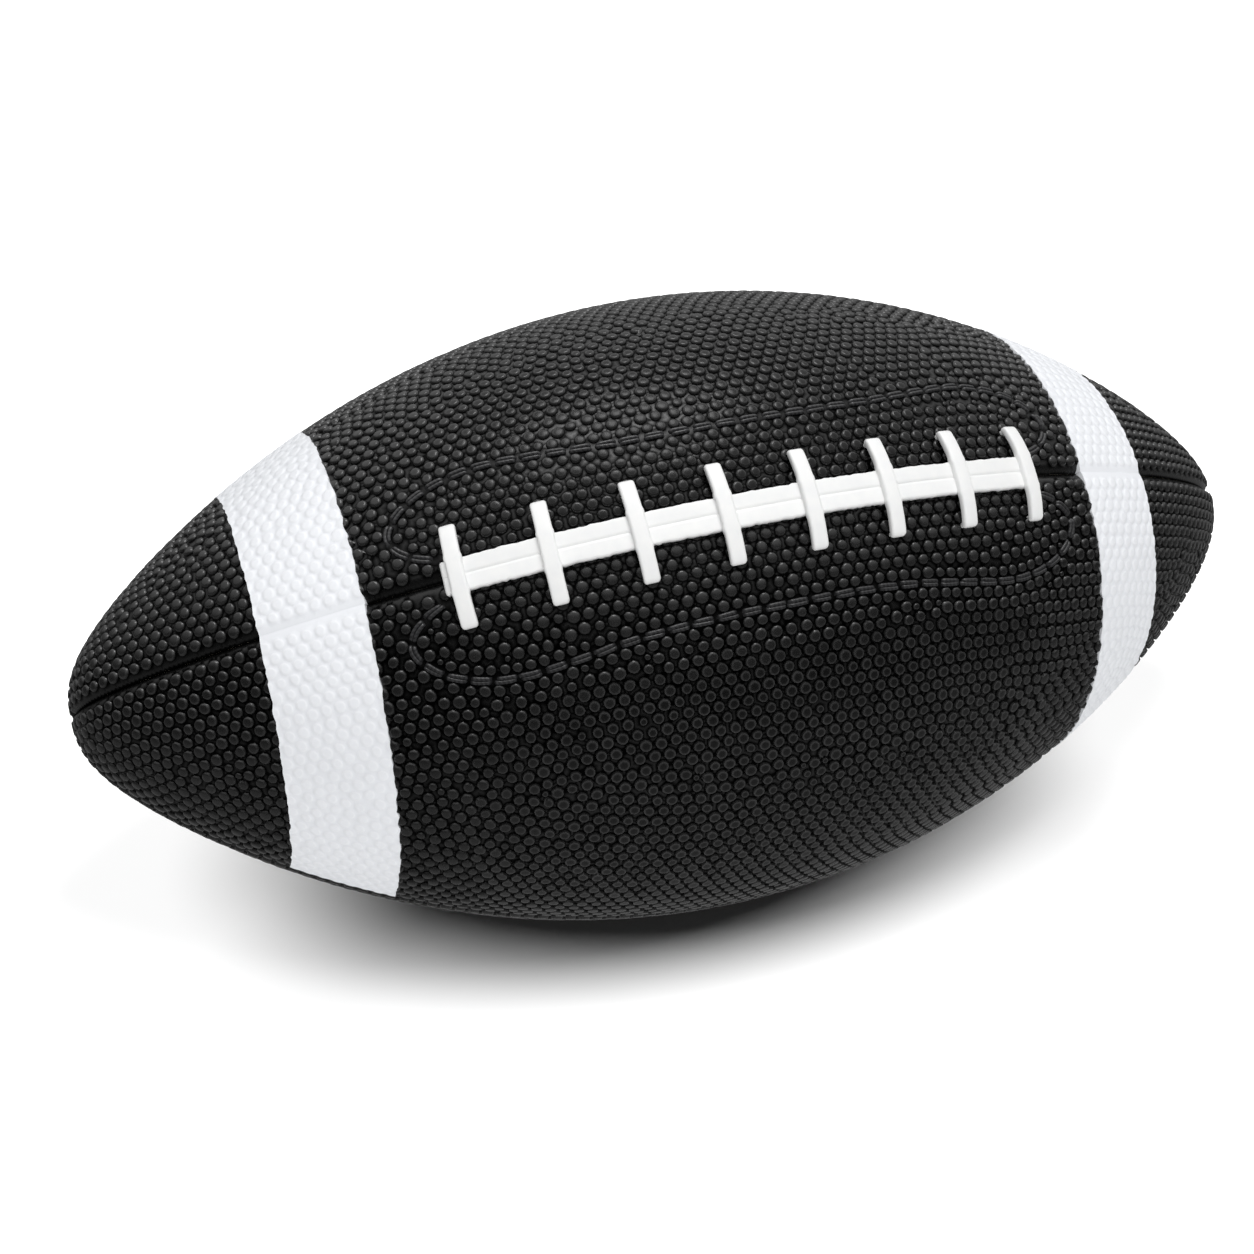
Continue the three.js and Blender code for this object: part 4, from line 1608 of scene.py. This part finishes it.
@dataclass
class Lacing:
    """The lace spine on the seam, and the cross laces that bridge it like staples."""

    form: BallForm
    lace_count: int = 8
    lace_spacing: float = 17.8 * MM
    lace_length: float = 21.4 * MM
    lace_width: float = 3.4 * MM
    lace_thickness: float = 1.8 * MM
    lace_corner: float = 0.6 * MM
    lace_end: float = 0.75 * MM
    lace_top: float = 2.6 * MM
    lace_sink: float = 0.25 * MM
    leg_depth: float = 2.0 * MM
    leg_width: float = 2.6 * MM
    web_width: float = 0.22 * MM
    spine_width: float = 6.9 * MM
    spine_thickness: float = 1.5 * MM
    spine_sink: float = 0.3 * MM
    spine_corner: float = 0.5 * MM
    spine_overhang: float = 2.9 * MM
    spine_nick: float = 0.02
    spine_waver: float = 0.006
    spine_waves: tuple[float, ...] = (2.3 * MM, 3.7 * MM, 6.1 * MM, 9.7 * MM)
    spine_end: float = 0.7 * MM
    # Share of the width and of the height that the spine has at its very ends, and what it gains from there
    end_width: tuple[float, float] = (0.86, 0.14)
    end_height: tuple[float, float] = (0.45, 0.55)
    end_share: float = 0.02
    spine_stations: int = 180
    shoulder: float = 2.2 * MM
    groove_width: float = 0.7 * MM
    groove_depth: float = 0.22 * MM
    # From the groove's edge inwards: shares of its half width and of its depth
    groove_profile: tuple[tuple[float, float], ...] = ((1.8, 0.0), (1.0, 0.12), (0.45, 0.6))
    lace_skew: float = math.radians(0.5)
    lace_waver: float = 0.003
    lace_stations: int = 37
    lace_taper: float = 0.8
    arch_power: float = 2.3
    web_offset: float = 0.1 * MM
    web_spread: float = 0.5 * MM
    end_steps: int = 6
    sharp_angle: float = 75
    rng: np.random.Generator = field(default_factory=lambda: np.random.default_rng(SEED + 1))

    def build(self) -> None:
        """Builds the spine and all cross laces."""
        vinyl = LACE_VINYL.material()
        make_piece("lace_spine_vinyl", *self.spine(), vinyl, "lace_spine", "lace_vinyl", self.sharp_angle)
        for number in range(self.lace_count):
            x = (number - (self.lace_count - 1) / 2) * self.lace_spacing
            node = f"cross_lace_{number + 1}"
            make_piece(f"{node}_vinyl", *self.cross_lace(x), vinyl, node, "lace_vinyl", self.sharp_angle)

    @staticmethod
    def rounded_box(width: float, thickness: float, corner: float, steps: int = 4) -> Array:
        """Draws a rectangle with round corners.

        Args:
            width: Its size along the first axis.
            thickness: Its size along the second axis.
            corner: Radius of its corners.
            steps: Steps round each corner.

        Returns:
            Points anticlockwise round the middle.
        """
        points = []
        for number, (right, up) in enumerate(((1, 1), (-1, 1), (-1, -1), (1, -1))):
            turn = QUARTER * (number + np.arange(steps + 1) / steps)
            middle = np.array([right * (width / 2 - corner), up * (thickness / 2 - corner)])
            points.append(middle + corner * np.stack([np.cos(turn), np.sin(turn)], axis=1))
        return np.concatenate(points)

    def lay(self, x: float, local: Array) -> Array:
        """Lays points of a lace on the seam.

        Args:
            x: Where the lace sits along the ball.
            local: Points along the ball, across the seam to the front, and up from the outline.

        Returns:
            The points in space.
        """
        arc = float(self.form.arc_at(x))
        along, outward = (float(np.interp(arc, self.form.arcs, part)) for part in self.form.normals)
        radius = float(self.form.radius(arc))
        xs = x + local[:, 0] * outward + local[:, 2] * along
        up = radius + local[:, 2] * outward - local[:, 0] * along
        lean = self.form.lace_lean
        ys = -local[:, 1] * math.cos(lean) - up * math.sin(lean)
        zs = -local[:, 1] * math.sin(lean) + up * math.cos(lean)
        return np.stack([xs, ys, zs + self.form.diameter / 2 - self.form.rest_depth], axis=1)

    def ground(self, x: float, across: float) -> float:
        """Gives how far the outline lies above the seam's own height, beside the seam."""
        radius = float(self.form.radius(self.form.arc_at(x)))
        return math.sqrt(radius ** 2 - across ** 2) - radius

    def cross_lace(self, x: float) -> tuple[Array, list[list[int]]]:
        """Builds one cross lace: a blunt arched bar, and a leg into the cover at each end.

        Args:
            x: Where it sits along the ball.

        Returns:
            Points and faces.
        """
        section = self.rounded_box(self.lace_width, self.lace_thickness, self.lace_corner)
        half, end = self.lace_length / 2, self.lace_end
        tips = end * np.cos(np.linspace(0, QUARTER, self.end_steps + 1))
        inner = np.linspace(-half + end, half - end, self.lace_stations)
        stations = np.concatenate([-half + end - tips[:-1], inner, half - end + tips[-2::-1]])
        crown = self.lace_top - self.lace_thickness / 2
        foot = self.ground(x, half) + self.lace_thickness / 2 - self.lace_sink
        skew = math.tan(self.rng.normal(0, self.lace_skew))
        web_at = self.spine_width / 2 + self.web_offset
        half_size = np.array([self.lace_width, self.lace_thickness]) / 2
        points = []
        for across in stations:
            past = max(abs(across) - (half - end), 0) / end
            cap = math.sqrt(max(1 - past ** 2, 0))
            shrink = (half_size - end * (1 - cap) * self.lace_taper) / half_size
            off_web = (abs(across) - web_at) / self.web_spread
            web = 1 + 2 * self.web_width / self.lace_width * math.exp(-(off_web ** 2))
            waver = 1 + self.rng.normal(0, self.lace_waver)
            up = crown - (crown - foot) * abs(across / half) ** self.arch_power
            along = section[:, 0] * shrink[0] * web * waver + across * skew
            high = up + section[:, 1] * shrink[1]
            points.append(np.stack([along, np.full(len(section), across), high], axis=1))
        faces = tube_faces(len(stations), len(section))
        leg = self.rounded_box(self.leg_width, self.lace_thickness - 2 * self.lace_sink, self.lace_corner)
        for side in (-1, 1):
            first = sum(len(ring) for ring in points)
            middle = side * (half - self.lace_thickness / 2)
            for depth in (0.0, -self.leg_depth):
                high = np.full(len(leg), self.ground(x, half) + depth)
                points.append(np.stack([leg[:, 0] + middle * skew, middle - leg[:, 1], high], axis=1))
            faces += [face[::-1] for face in tube_faces(2, len(leg), first)]
        return self.lay(x, np.concatenate(points)), faces

    def spine_section(self) -> Array:
        """Draws the spine's section, with the groove along its top.

        Returns:
            Points across the seam and up, anticlockwise from the lower front corner.
        """
        half, top = self.spine_width / 2, self.spine_thickness
        corner, groove = self.spine_corner, self.groove_width / 2
        turn = np.linspace(0, QUARTER, self.end_steps)
        edge = np.stack([half - corner + corner * np.cos(turn), top - corner + corner * np.sin(turn)], axis=1)
        dip = [(across * groove, top - down * self.groove_depth) for across, down in self.groove_profile]
        bottom = np.array([(0.0, 0.0), (half - 0.25 * corner, 0.0), (half, 0.25 * corner)])
        front = np.concatenate([bottom, edge, [(self.shoulder, top)], dip])
        rear = front[:0:-1] * (-1, 1)
        return np.concatenate([front, [(0.0, top - self.groove_depth)], rear])

    def spine(self) -> tuple[Array, list[list[int]]]:
        """Builds the lace spine along the seam.

        Returns:
            Points and faces.
        """
        section = self.spine_section()
        reach = (self.lace_count - 1) / 2 * self.lace_spacing + self.spine_overhang
        end = self.spine_end
        tips = end * (1 - np.cos(np.linspace(0, QUARTER, self.end_steps)))
        inner = np.linspace(-reach + end, reach - end, self.spine_stations)
        stations = np.concatenate([-reach + tips[:-1], inner, reach - tips[-2::-1]])
        phases = self.rng.uniform(0, FULL_TURN, len(self.spine_waves))
        points = []
        for x in stations:
            past = max(abs(x) - (reach - end), 0) / end
            round_off = math.sqrt(max(1 - past ** 2, self.end_share))
            waver = sum(
                math.sin(FULL_TURN * x / length + phase) for length, phase in zip(self.spine_waves, phases)
            )
            wide, tall = (least + gain * round_off for least, gain in (self.end_width, self.end_height))
            nicks = self.rng.normal(0, self.spine_nick, 2)
            front, rear = (1 + self.spine_waver * waver + nicks) * wide
            across = section[:, 0] * np.where(section[:, 0] > 0, front, rear)
            up = section[:, 1] * tall - self.spine_sink
            points.append(self.lay(x, np.stack([np.zeros(len(section)), across, up], axis=1)))
        return np.concatenate(points), tube_faces(len(stations), len(section))


@dataclass
class Stitching:
    """The black stitches round the lacing: pairs of strands that dive into the cover at both ends."""

    form: BallForm
    line: StitchLine
    stitch_pitch: float = 4.95 * MM
    stitch_length: float = 4.5 * MM
    strand_radius: float = 0.44 * MM
    strand_offsets: tuple[float, ...] = (-0.41 * MM, 0.41 * MM)
    strand_waver: float = 0.06 * MM
    strand_pinch: float = 0.3
    pinch_power: int = 4
    side_drop: float = 0.16 * MM
    crest: float = 0.2 * MM
    dive: float = 0.9 * MM
    dive_power: int = 7
    lay_length: float = 0.9 * MM
    stations: int = 13
    sides: int = 10
    sharp_angle: float = 80
    rng: np.random.Generator = field(default_factory=lambda: np.random.default_rng(SEED + 2))

    def build(self) -> None:
        """Builds the stitches of both sides."""
        thread = STITCH_THREAD.material()
        for name, side in (("front", 1), ("rear", -1)):
            points, faces, lay = self.run(side)
            make_piece(f"lace_stitching_{name}", points, faces, thread, sharp_angle=self.sharp_angle, lay=lay)

    def run(self, side: int) -> tuple[Array, list[list[int]], Array]:
        """Builds the stitches of one side.

        Args:
            side: 1 for the front, -1 for the rear.

        Returns:
            Points, faces, and how far each point is along the twist of its strand.
        """
        arc, angle = self.line.points(side)
        length = self.line.step * (len(arc) - 1)
        steps = np.linspace(0, length, len(arc))
        count = int(length / self.stitch_pitch)
        starts = (np.arange(count) + 0.5) * length / count - self.stitch_length / 2
        points, faces, lays = [], [], []
        for start in starts:
            for offset in self.strand_offsets:
                made, lay = self.strand(start, offset, steps, arc, angle)
                faces += tube_faces(self.stations, self.sides, len(points) * self.stations * self.sides)
                points.append(made)
                lays.append(lay)
        return np.concatenate(points), faces, np.concatenate(lays)

    def strand(
        self, start: float, offset: float, steps: Array, arc: Array, angle: Array
    ) -> tuple[Array, Array]:
        """Builds one strand of a stitch.

        Args:
            start: Where the stitch starts along the line.
            offset: How far the strand lies beside the line.
            steps: Distance along the line of each of its points.
            arc: Arc of each of its points.
            angle: Angle of each of its points.

        Returns:
            The strand's points, ring by ring, and how far each is along its twist.
        """
        share = np.linspace(0, 1, self.stations)
        shift, stretch, lift, slant = self.rng.normal(0, self.strand_waver, 4)
        at = start + 2 * shift + share * (self.stitch_length + 3 * stretch)
        way = 2 * share - 1
        pinch = 1 - self.strand_pinch * np.abs(way) ** self.pinch_power
        top = self.crest + lift - self.side_drop
        sunk = top - self.strand_radius - self.dive * np.abs(way) ** self.dive_power
        middle, ahead, behind = (
            [np.interp(at + shifted, steps, numbers) for numbers in (arc, angle)]
            for shifted in (0, self.line.step, -self.line.step)
        )
        radius = self.form.radius(middle[0])
        along, around = ahead[0] - behind[0], (ahead[1] - behind[1]) * radius
        size = np.maximum(np.hypot(along, around), TINY)
        turn = np.linspace(0, FULL_TURN, self.sides, endpoint=False)
        run = offset * pinch + slant * way
        beside = run[:, None] + self.strand_radius * np.cos(turn)[None]
        height = sunk[:, None] + self.strand_radius * np.sin(turn)[None]
        arcs = middle[0][:, None] - beside * (around / size)[:, None]
        angles = middle[1][:, None] + beside * (along / size / radius)[:, None]
        lay = (at / self.lay_length)[:, None] + turn[None] / FULL_TURN
        return self.form.place(arcs.ravel(), angles.ravel(), height.ravel()), lay.ravel()


# Valve


@dataclass
class Valve:
    """The valve in the rear plain panel: a flanged body, and a plug with a needle channel."""

    form: BallForm
    stem_radius: float = 4.0 * MM
    sink: float = 0.4 * MM
    lip: float = 0.35 * MM
    flange_radius: float = 11 * MM
    flange_top: float = 5.7 * MM
    flange_bottom: float = 7.6 * MM
    seat_radius: float = 2.5 * MM
    seat_depth: float = 1.4 * MM
    bore_radius: float = 1.7 * MM
    head_radius: float = 2.3 * MM
    head_thickness: float = 1.2 * MM
    plug_radius: float = 1.5 * MM
    plug_length: float = 7.5 * MM
    needle_radius: float = 0.5 * MM
    sides: int = 48
    sharp_angle: float = 40

    def build(self) -> None:
        """Builds the valve's body and its plug."""
        for node, outline, finish, slot in (
            ("valve_body", self.body_outline(), VALVE_RUBBER, "valve_rubber"),
            ("valve_plug", self.plug_outline(), BLADDER_BUTYL, "bladder_butyl"),
        ):
            points, faces = self.turned(outline)
            make_piece(f"{node}_turned", points, faces, finish.material(), node, slot, self.sharp_angle)

    def body_outline(self) -> list[tuple[float, float]]:
        """Gives the body's half section: distance from the axis and depth below the outline."""
        sink, lip, stem, flange = self.sink, self.lip, self.stem_radius, self.flange_radius
        return [
            (self.bore_radius, sink + self.seat_depth), (self.seat_radius, sink + self.seat_depth),
            (self.seat_radius, sink + 0.4 * lip), (self.seat_radius + 0.3 * lip, sink),
            (stem - 1.6 * lip, sink - 0.2 * lip), (stem - 0.7 * lip, sink),
            (stem - 0.2 * lip, sink + 0.3 * lip), (stem, sink + lip),
            (stem, self.flange_top - 0.6 * lip), (stem + lip, self.flange_top),
            (flange - lip, self.flange_top + 0.8 * MM), (flange, self.flange_top + 1.2 * MM),
            (flange - lip, self.flange_bottom), (self.bore_radius, self.flange_bottom),
        ]

    def plug_outline(self) -> list[tuple[float, float]]:
        """Gives the plug's half section: distance from the axis and depth below the outline."""
        sink, head, needle = self.sink, self.head_radius, self.needle_radius
        return [
            (needle, sink + self.plug_length), (needle, sink + 0.5 * MM),
            (1.5 * needle, sink + 0.15 * MM), (2.4 * needle, sink),
            (head - 0.5 * MM, sink - 0.05 * MM), (head - 0.12 * MM, sink + 0.1 * MM),
            (head, sink + 0.4 * MM), (head, sink + self.head_thickness),
            (self.plug_radius, sink + self.head_thickness), (self.plug_radius, sink + self.plug_length),
        ]

    def turned(self, outline: list[tuple[float, float]]) -> tuple[Array, list[list[int]]]:
        """Turns a half section about the valve's axis.

        Args:
            outline: Distance from the axis and depth below the outline, in order round the section.

        Returns:
            Points and faces of a closed ring.
        """
        spin = np.linspace(0, FULL_TURN, self.sides, endpoint=False)
        turn = self.form.valve_angle + self.form.lace_lean
        out = np.array([0.0, -math.sin(turn), math.cos(turn)])
        along = np.array([1.0, 0.0, 0.0])
        beside = np.array([0.0, math.cos(turn), math.sin(turn)])
        middle = np.array([0.0, 0.0, self.form.diameter / 2 - self.form.rest_depth])
        points = []
        for away, depth in outline:
            ring = away * np.cos(spin)[:, None] * along + away * np.sin(spin)[:, None] * beside
            points.append(middle + ring + (self.form.diameter / 2 - depth) * out)
        return np.concatenate(points), tube_faces(len(outline), self.sides, looped=True)


@dataclass
class InnerLayers:
    """The layers inside the cover, which keep their solids and get their own finishes."""

    finishes: tuple[tuple[str, Finish], ...] = (
        ("bladder", BLADDER_BUTYL), ("winding", WINDING_NYLON), ("lace_backing", BACKING_CANVAS),
    )

    def dress(self) -> None:
        """Gives each inner layer its finish."""
        for node, finish in self.finishes:
            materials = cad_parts[node].data.materials
            materials.clear()
            materials.append(finish.material())
            log.info("%s: %s", node, finish.name)


# Studio


@dataclass(frozen=True)
class Lamp:
    """A square lamp that faces the ball, at an elevation counted from the camera's side over the top.

    It leans some degrees to the left, or to the right if that is less than 0.
    """

    name: str
    size: float
    distance: float
    elevation: float
    power: float
    lean: float = 0
    mirrored: bool = False


@dataclass(frozen=True)
class FloorSun:
    """A soft sun that lights the floor alone, with the level of white that the floor gets from it.

    Its elevation and lean are counted as a lamp's are.
    """

    elevation: float
    lean: float
    level: float


@dataclass
class Studio:
    """Camera, white floor and soft light."""

    camera_place: tuple[float, float, float] = (-0.13719, -0.35874, 0.32499)
    camera_elevation: float = 34.288
    camera_azimuth: float = 19.064
    lens: float = 56.46
    sensor: float = 36
    floor_size: float = 6
    world_colour: str = "ffffff"
    ambient: float = 0.05
    gloss_front: float = 0.07
    gloss_back: float = 1.1
    gloss_below: float = 0.2
    gloss_elevation: float = 114
    # How far a direction faces the bright place, from where its light starts to where it is full
    gloss_range: tuple[float, float] = (0.2, 0.8)
    below_range: tuple[float, float] = (0.0, 0.4)
    lamps: tuple[Lamp, ...] = (
        Lamp("softbox", 0.55, 1.3, 102, 5.2, mirrored=True),
        Lamp("top_light", 2.0, 1.3, 90, 17.2),
        Lamp("front_fill", 1.4, 1.8, 12, 18.4, lean=-16),
    )
    floor_suns: tuple[FloorSun, ...] = (
        FloorSun(65, 19.5, 0.74),
        FloorSun(78, -29, 0.73),
        FloorSun(134, 13, 0.27),
    )
    floor_sun_spread: float = 33
    floor: bpy.types.Object = field(init=False, repr=False)

    def build(self) -> None:
        """Sets up everything round the ball."""
        self.set_camera()
        self.lay_floor()
        self.set_light()
        bpy.context.scene.view_settings.view_transform = "Standard"

    def set_camera(self) -> None:
        """Puts the camera where the photograph was taken from."""
        data = bpy.data.cameras.new("photo_camera")
        data.lens, data.sensor_width = self.lens, self.sensor
        camera = bpy.data.objects.new("photo_camera", data)
        camera.location = self.camera_place
        camera.rotation_euler = (
            QUARTER - math.radians(self.camera_elevation), 0, -math.radians(self.camera_azimuth)
        )
        bpy.context.scene.collection.objects.link(camera)
        bpy.context.scene.camera = camera

    def lay_floor(self) -> None:
        """Lays the white floor."""
        half = self.floor_size / 2
        mesh = bpy.data.meshes.new("floor")
        corners = [(-half, -half, 0), (half, -half, 0), (half, half, 0), (-half, half, 0)]
        mesh.from_pydata(corners, [], [(0, 1, 2, 3)])
        mesh.materials.append(FLOOR_PAPER.material())
        self.floor = bpy.data.objects.new("floor", mesh)
        self.floor.visible_glossy = False
        bpy.context.scene.collection.objects.link(self.floor)

    def towards(self, elevation: float, lean: float = 0) -> Vector:
        """Gives the direction at this elevation, counted from the camera's side over the top.

        Args:
            elevation: The elevation, in degrees.
            lean: Degrees by which the direction leans to the left.

        Returns:
            The direction, one unit long.
        """
        azimuth, height, side = (math.radians(turn) for turn in (self.camera_azimuth, elevation, lean))
        front = Vector((-math.sin(azimuth), -math.cos(azimuth), 0))
        left = Vector((-math.cos(azimuth), math.sin(azimuth), 0))
        upright = front * math.cos(height) + Vector((0, 0, math.sin(height)))
        return upright * math.cos(side) + left * math.sin(side)

    def hang(self, data: bpy.types.Light, place: Vector, floor_only: bool) -> bpy.types.Object:
        """Hangs a light that faces the ball.

        Args:
            data: The light.
            place: Where it hangs.
            floor_only: Whether it lights the floor alone, instead of all but the floor.

        Returns:
            The new object.
        """
        light = bpy.data.objects.new(data.name, data)
        light.location = place
        light.rotation_euler = place.to_track_quat("Z", "Y").to_euler()
        bpy.context.scene.collection.objects.link(light)
        receivers = bpy.data.collections.new(f"{data.name}_receivers")
        receivers.objects.link(self.floor)
        light.light_linking.receiver_collection = receivers
        linking = receivers.collection_objects[0].light_linking
        linking.link_state = "INCLUDE" if floor_only else "EXCLUDE"
        return light

    def set_light(self) -> None:
        """Hangs the ball's lamps and the floor's suns, and makes the surroundings."""
        for lamp in self.lamps:
            data = bpy.data.lights.new(lamp.name, "AREA")
            data.shape, data.size, data.energy = "SQUARE", lamp.size, lamp.power
            place = self.towards(lamp.elevation, lamp.lean) * lamp.distance
            light = self.hang(data, place, floor_only=False)
            light.visible_glossy = lamp.mirrored
        for number, sun in enumerate(self.floor_suns, 1):
            way = self.towards(sun.elevation, sun.lean)
            data = bpy.data.lights.new(f"floor_sun_{number}", "SUN")
            data.angle = math.radians(self.floor_sun_spread)
            data.energy = math.pi * sun.level / way.z
            self.hang(data, way, floor_only=True)
        self.set_sky()

    def set_sky(self) -> None:
        """Makes the surroundings: dim all round, and mirrored bright over the ball's back and faint below."""
        world = bpy.data.worlds.new("studio")
        bpy.context.scene.world = world
        world.use_nodes = True
        tree = world.node_tree
        tree.nodes.clear()
        way = add_node(tree, "ShaderNodeTexCoord", output="Generated")
        levels = []
        for bright, start, full, low, high in (
            (self.towards(self.gloss_elevation), *self.gloss_range, self.gloss_front, self.gloss_back),
            (Vector((0, 0, -1)), *self.below_range, 0.0, self.gloss_below),
        ):
            aim = {"operation": "DOT_PRODUCT", 1: bright}
            facing = add_node(tree, "ShaderNodeVectorMath", aim, {0: way}, "Value")
            band = {"From Min": start, "From Max": full, "To Min": low, "To Max": high}
            levels.append(add_node(tree, "ShaderNodeMapRange", band, {"Value": facing}))
        gloss = add_node(tree, "ShaderNodeMath", {"operation": "ADD"}, dict(enumerate(levels)))
        seen, *mirrors = (
            add_node(tree, "ShaderNodeLightPath", output=f"Is {kind} Ray")
            for kind in ("Camera", "Glossy", "Transmission")
        )
        mirrored = add_node(tree, "ShaderNodeMath", {"operation": "MAXIMUM"}, dict(enumerate(mirrors)))
        lit = {"Value": mirrored, "To Max": gloss}
        unseen = add_node(tree, "ShaderNodeMapRange", {"To Min": self.ambient}, lit)
        strength = add_node(tree, "ShaderNodeMapRange", {"To Max": 1.0}, {"Value": seen, "To Min": unseen})
        colour = {"Color": linear_colour(self.world_colour)}
        light = add_node(tree, "ShaderNodeBackground", colour, {"Strength": strength})
        add_node(tree, "ShaderNodeOutputWorld", links={"Surface": light})


def main() -> None:
    """Builds the ball and the studio, piece by piece."""
    logging.basicConfig(level=logging.INFO, format="%(message)s")
    Studio().build()
    form = BallForm()
    line = StitchLine(form)
    Cover(form, line).build()
    Lacing(form).build()
    Stitching(form, line).build()
    Valve(form).build()
    InnerLayers().dress()


if __name__ == "__main__":
    main()
